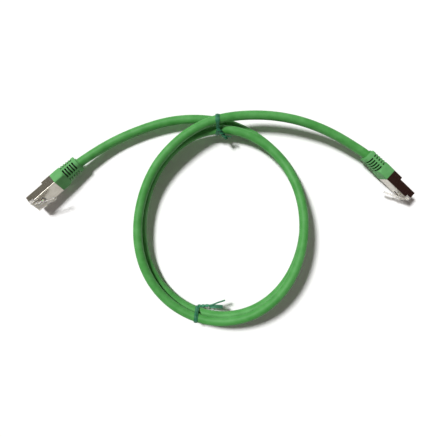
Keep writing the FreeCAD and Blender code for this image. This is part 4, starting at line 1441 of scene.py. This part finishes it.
@dataclass
class TwistTie:
    """A flat plastic ribbon with a wire in it: round the strands, twisted, and ending in two tails.

    The ribbon is one path: the first tail, the neck, once round the strands, the neck again half a turn
    round its axis from the first time, and the second tail. Metres.

    Attributes:
        name: the piece's name, after the CAD's tie.
        plane_point: a point of the plane of the band.
        plane_normal: the plane's normal.
        outward: the level direction in the plane that points away from the loop.
        strand_count: how many strands of the cable the band holds.
        neck_bearing: where the neck leaves the band, in degrees from outward towards up.
        neck_end: where the tails part.
        tails: the tails' points, from near the neck's end to the tips.
        tail_faces: the direction that each tail's flat side faces.
        waist: where in the plane the ribbon is pinched, as (outward distance, height).
        waist_depth: the share of its width that it loses there.
        waist_reach: how far from there the pinch is felt.
        half_width: half the ribbon's width.
        half_thickness: half its thickness beside the wire.
        half_edge: half its thickness at the very edge.
        wire_radius: the radius of the ridge over the wire.
        bare_wire_radius: the wire's own radius.
        cable_radius: the jacket's radius.
        fit: the gap between the jacket and the ribbon.
        twists: the turns that the two ribbons wind round each other in the neck.
        neck_radius: their distance from the neck's axis.
        neck_gap: the angle between the neck and the band's ends, in radians.
        neck_start: the share of the neck that the band's ends take up.
        belt_points: how many directions the band is worked out in.
        band_points: the points of its path.
        neck_points: the points of the neck's.
        tail_points: the points of a tail's.
        rows: the number of the ribbon's rings.
    """

    name: str
    plane_point: Triple
    plane_normal: Triple
    outward: Triple
    strand_count: int
    neck_bearing: float
    neck_end: Triple
    tails: tuple[tuple[Triple, ...], ...]
    tail_faces: tuple[Triple, ...]
    waist: tuple[float, float] = (0.0, 0.0)
    waist_depth: float = 0.0
    waist_reach: float = 0.0016
    half_width: float = 0.00135
    half_thickness: float = 0.00016
    half_edge: float = 0.00009
    wire_radius: float = 0.00038
    bare_wire_radius: float = 0.0002
    cable_radius: float = 0.0031
    fit: float = 0.00012
    twists: float = 1.5
    neck_radius: float = 0.00042
    neck_gap: float = 0.12
    neck_start: float = 0.12
    belt_points: int = 720
    band_points: int = 90
    neck_points: int = 24
    tail_points: int = 16
    rows: int = 260

    def strands(self, path: Array) -> Array:
        """Where the cable crosses the band's plane, on the outward side.

        Args:
            path: points along the cable.

        Returns:
            Each crossing as (outward distance, height) from the plane's point.
        """
        relative = path - np.array(self.plane_point)
        ahead = relative @ np.array(self.plane_normal)
        outside = relative[:-1] @ np.array(self.outward) > 0
        crossing = np.nonzero((ahead[:-1] * ahead[1:] <= 0) & outside)[0]
        share = (ahead[crossing] / (ahead[crossing] - ahead[crossing + 1]))[:, None]
        places = relative[crossing] + share * (relative[crossing + 1] - relative[crossing])
        assert len(places) == self.strand_count, (self.name, len(places))
        return np.stack([places @ np.array(self.outward), places @ UP], axis=1)

    def outline(self) -> Array:
        """The ribbon's section: flat edges with a round ridge in the middle, on both faces.

        The half thickness at x is the larger of the edge's and sqrt(wire radius squared - x squared).

        Returns:
            The outline as (x, y) points, going once round.
        """
        shares = np.array([0.08, 0.18, 0.26, 0.34, 0.6, 0.95, 1.0])
        x = self.half_width * np.concatenate([-shares[::-1], [0.0], shares])
        ridge = np.sqrt(np.maximum(self.wire_radius ** 2 - x ** 2, 0.0))
        flat = np.where(np.abs(x) < self.half_width, self.half_thickness, self.half_edge)
        height = np.maximum(flat, ridge)
        upper = np.stack([x, height], axis=1)
        lower = np.stack([x[::-1], -height[::-1]], axis=1)
        return np.concatenate([upper, lower])

    def band(self, centres: Array) -> tuple[Array, Array]:
        """Once round the strands, starting and ending at the neck.

        For a bearing b, the belt's point is the strand furthest along b plus the belt's radius along b.

        Args:
            centres: the strands in the plane.

        Returns:
            The path's points and the directions away from the strands.
        """
        start = math.radians(self.neck_bearing)
        end = start + 2 * math.pi
        bearing = np.linspace(start + self.neck_gap, end - self.neck_gap, self.belt_points)
        out = np.stack([np.cos(bearing), np.sin(bearing)], axis=1)
        furthest = np.argmax(out @ centres.T, axis=1)
        belt_radius = self.cable_radius + self.fit + self.wire_radius
        belt = centres[furthest] + belt_radius * out
        facing = self.in_plane(resampled(belt, self.band_points, out)) - np.array(self.plane_point)
        return self.in_plane(resampled(belt, self.band_points)), unit(facing)

    def in_plane(self, points: Array) -> Array:
        """Points given as (outward distance, height), in the object's frame."""
        return np.array(self.plane_point) + points[:, :1] * np.array(self.outward) + points[:, 1:] * UP

    def neck(self, start: Array, phase: float) -> tuple[Array, Array]:
        """One ribbon's way along the neck: a helix about the neck's axis.

        Args:
            start: the neck's start.
            phase: the angle at the start, in radians.

        Returns:
            The path's points and the directions away from the neck's axis.
        """
        end = np.array(self.neck_end)
        share = np.linspace(self.neck_start, 1.0, self.neck_points)
        axis = start + share[:, None] * (end - start)
        angle = phase + 2 * math.pi * self.twists * share
        return helix(axis, unit(end - start), self.neck_radius, angle)

    def outlines(self, path: Array) -> Array:
        """The ribbon's section at each point of its path, narrower at the waist.

        The share of the width that is left is 1 - waist_depth * exp(-(distance / waist_reach) squared).

        Args:
            path: the ribbon's path.

        Returns:
            One outline per point.
        """
        waist = self.in_plane(np.array([self.waist]))
        distance = np.linalg.norm(path - waist, axis=1) / self.waist_reach
        width = 1.0 - self.waist_depth * np.exp(-distance ** 2)
        outline = self.outline()
        return np.stack([outline[None, :, 0] * width[:, None],
                         np.broadcast_to(outline[:, 1], (len(path), len(outline)))], axis=2)

    def ribbon_path(self, centres: Array) -> tuple[Array, Array]:
        """The ribbon's whole way: a tail, the neck, the band, the neck again and the other tail.

        Args:
            centres: the strands in the plane.

        Returns:
            The path's points and the direction that the ribbon's outer face has at each.
        """
        band, band_out = self.band(centres)
        start = (band[0] + band[-1]) / 2
        ways: list[Array] = []
        outs: list[Array] = []
        for phase, tail, faces in zip((0.0, math.pi), self.tails, self.tail_faces):
            neck, away = self.neck(start, phase)
            tail_path = resampled(np.concatenate([neck[-1:], np.array(tail)]), self.tail_points)[1:]
            ways.append(np.concatenate([neck, tail_path]))
            outs.append(np.concatenate([away, np.broadcast_to(np.array(faces), tail_path.shape)]))
        path = averaged(np.concatenate([ways[0][::-1], band, ways[1]]), 3)
        out = np.concatenate([outs[0][::-1], band_out, outs[1]])
        return resampled(path, self.rows), unit(averaged(resampled(path, self.rows, out), 4))

    def build(self, cable: Cable) -> list[Piece]:
        """Make the tie round the cable, and the wire in it.

        Args:
            cable: the cable, whose path gives the strands.

        Returns:
            The ribbon and the wire.
        """
        path, out = self.ribbon_path(self.strands(cable.path))
        grid = sweep(path, out, self.outlines(path))
        ribbon = piece_of_grids("%s_ribbon" % self.name, [grid], smooth_angle=35.0)
        settle(ribbon, TIE.build(), [self.name])
        bare = sweep(path[1:-1], out[1:-1], circle(self.bare_wire_radius, 10))
        wire = piece_of_grids("%s_core" % self.name, [bare])
        settle(wire, TIE_WIRE.build(), ["%s_wire" % self.name])
        return [ribbon, wire]


LEFT_POSE = PlugPose((-112.2, 23.6, 10.8), 222.1, -4.2, -61.5)
RIGHT_POSE = PlugPose((112.6, 29.1, 8.95), -41.3, 8.5, 90.0)

TOP_TIE = TwistTie(
    name="top_tie",
    plane_point=(-0.0030, -0.0047, 0.0),
    plane_normal=(1.0, 0.0, 0.0),
    outward=(0.0, 1.0, 0.0),
    strand_count=3,
    neck_bearing=135.0,
    neck_end=(0.0019, 0.0555, 0.0128),
    tails=(((0.0045, 0.0553, 0.0124), (0.0064, 0.0554, 0.0120)),
           ((0.0030, 0.0545, 0.0127), (0.0031, 0.0535, 0.0125))),
    tail_faces=((0.1, 1.0, 0.25), (0.6, 0.2, 0.5)),
    waist=(0.0671, 0.0195),
    waist_depth=0.4,
    half_width=0.0014)
BOTTOM_TIE = TwistTie(
    name="bottom_tie",
    plane_point=(-0.0122, -0.0104, 0.0),
    plane_normal=(0.9956, -0.0940, 0.0),
    outward=(-0.0940, -0.9956, 0.0),
    strand_count=2,
    neck_bearing=165.0,
    neck_end=(-0.0090, -0.0596, 0.0112),
    tails=(((-0.0066, -0.0590, 0.0114), (-0.0034, -0.0575, 0.0117), (0.0022, -0.0557, 0.0119)),
           ((-0.0066, -0.0598, 0.0114), (-0.0034, -0.0599, 0.0119), (0.0006, -0.0600, 0.0124))),
    tail_faces=((-0.2, 1.0, 0.15), (0.0, 0.1, 1.0)),
    half_width=0.00125,
    neck_radius=0.00034)


def main() -> None:
    """Build the object in its studio and report each piece."""
    logging.basicConfig(level=logging.INFO, format="%(name)s: %(message)s")
    bpy.context.scene.view_settings.view_transform = "Standard"
    Studio().build()
    plugs = {Side.LEFT: Plug(Side.LEFT, LEFT_POSE), Side.RIGHT: Plug(Side.RIGHT, RIGHT_POSE)}
    ends = {side: plug.crimp_points() for side, plug in plugs.items()}
    cable = Cable()
    jacket = cable.build(ends)
    on_cable: list[Piece] = []
    for plug in plugs.values():
        on_cable += plug.build()
    for tie in (BOTTOM_TIE, TOP_TIE):
        on_cable += tie.build(cable)


if __name__ == "__main__":
    main()
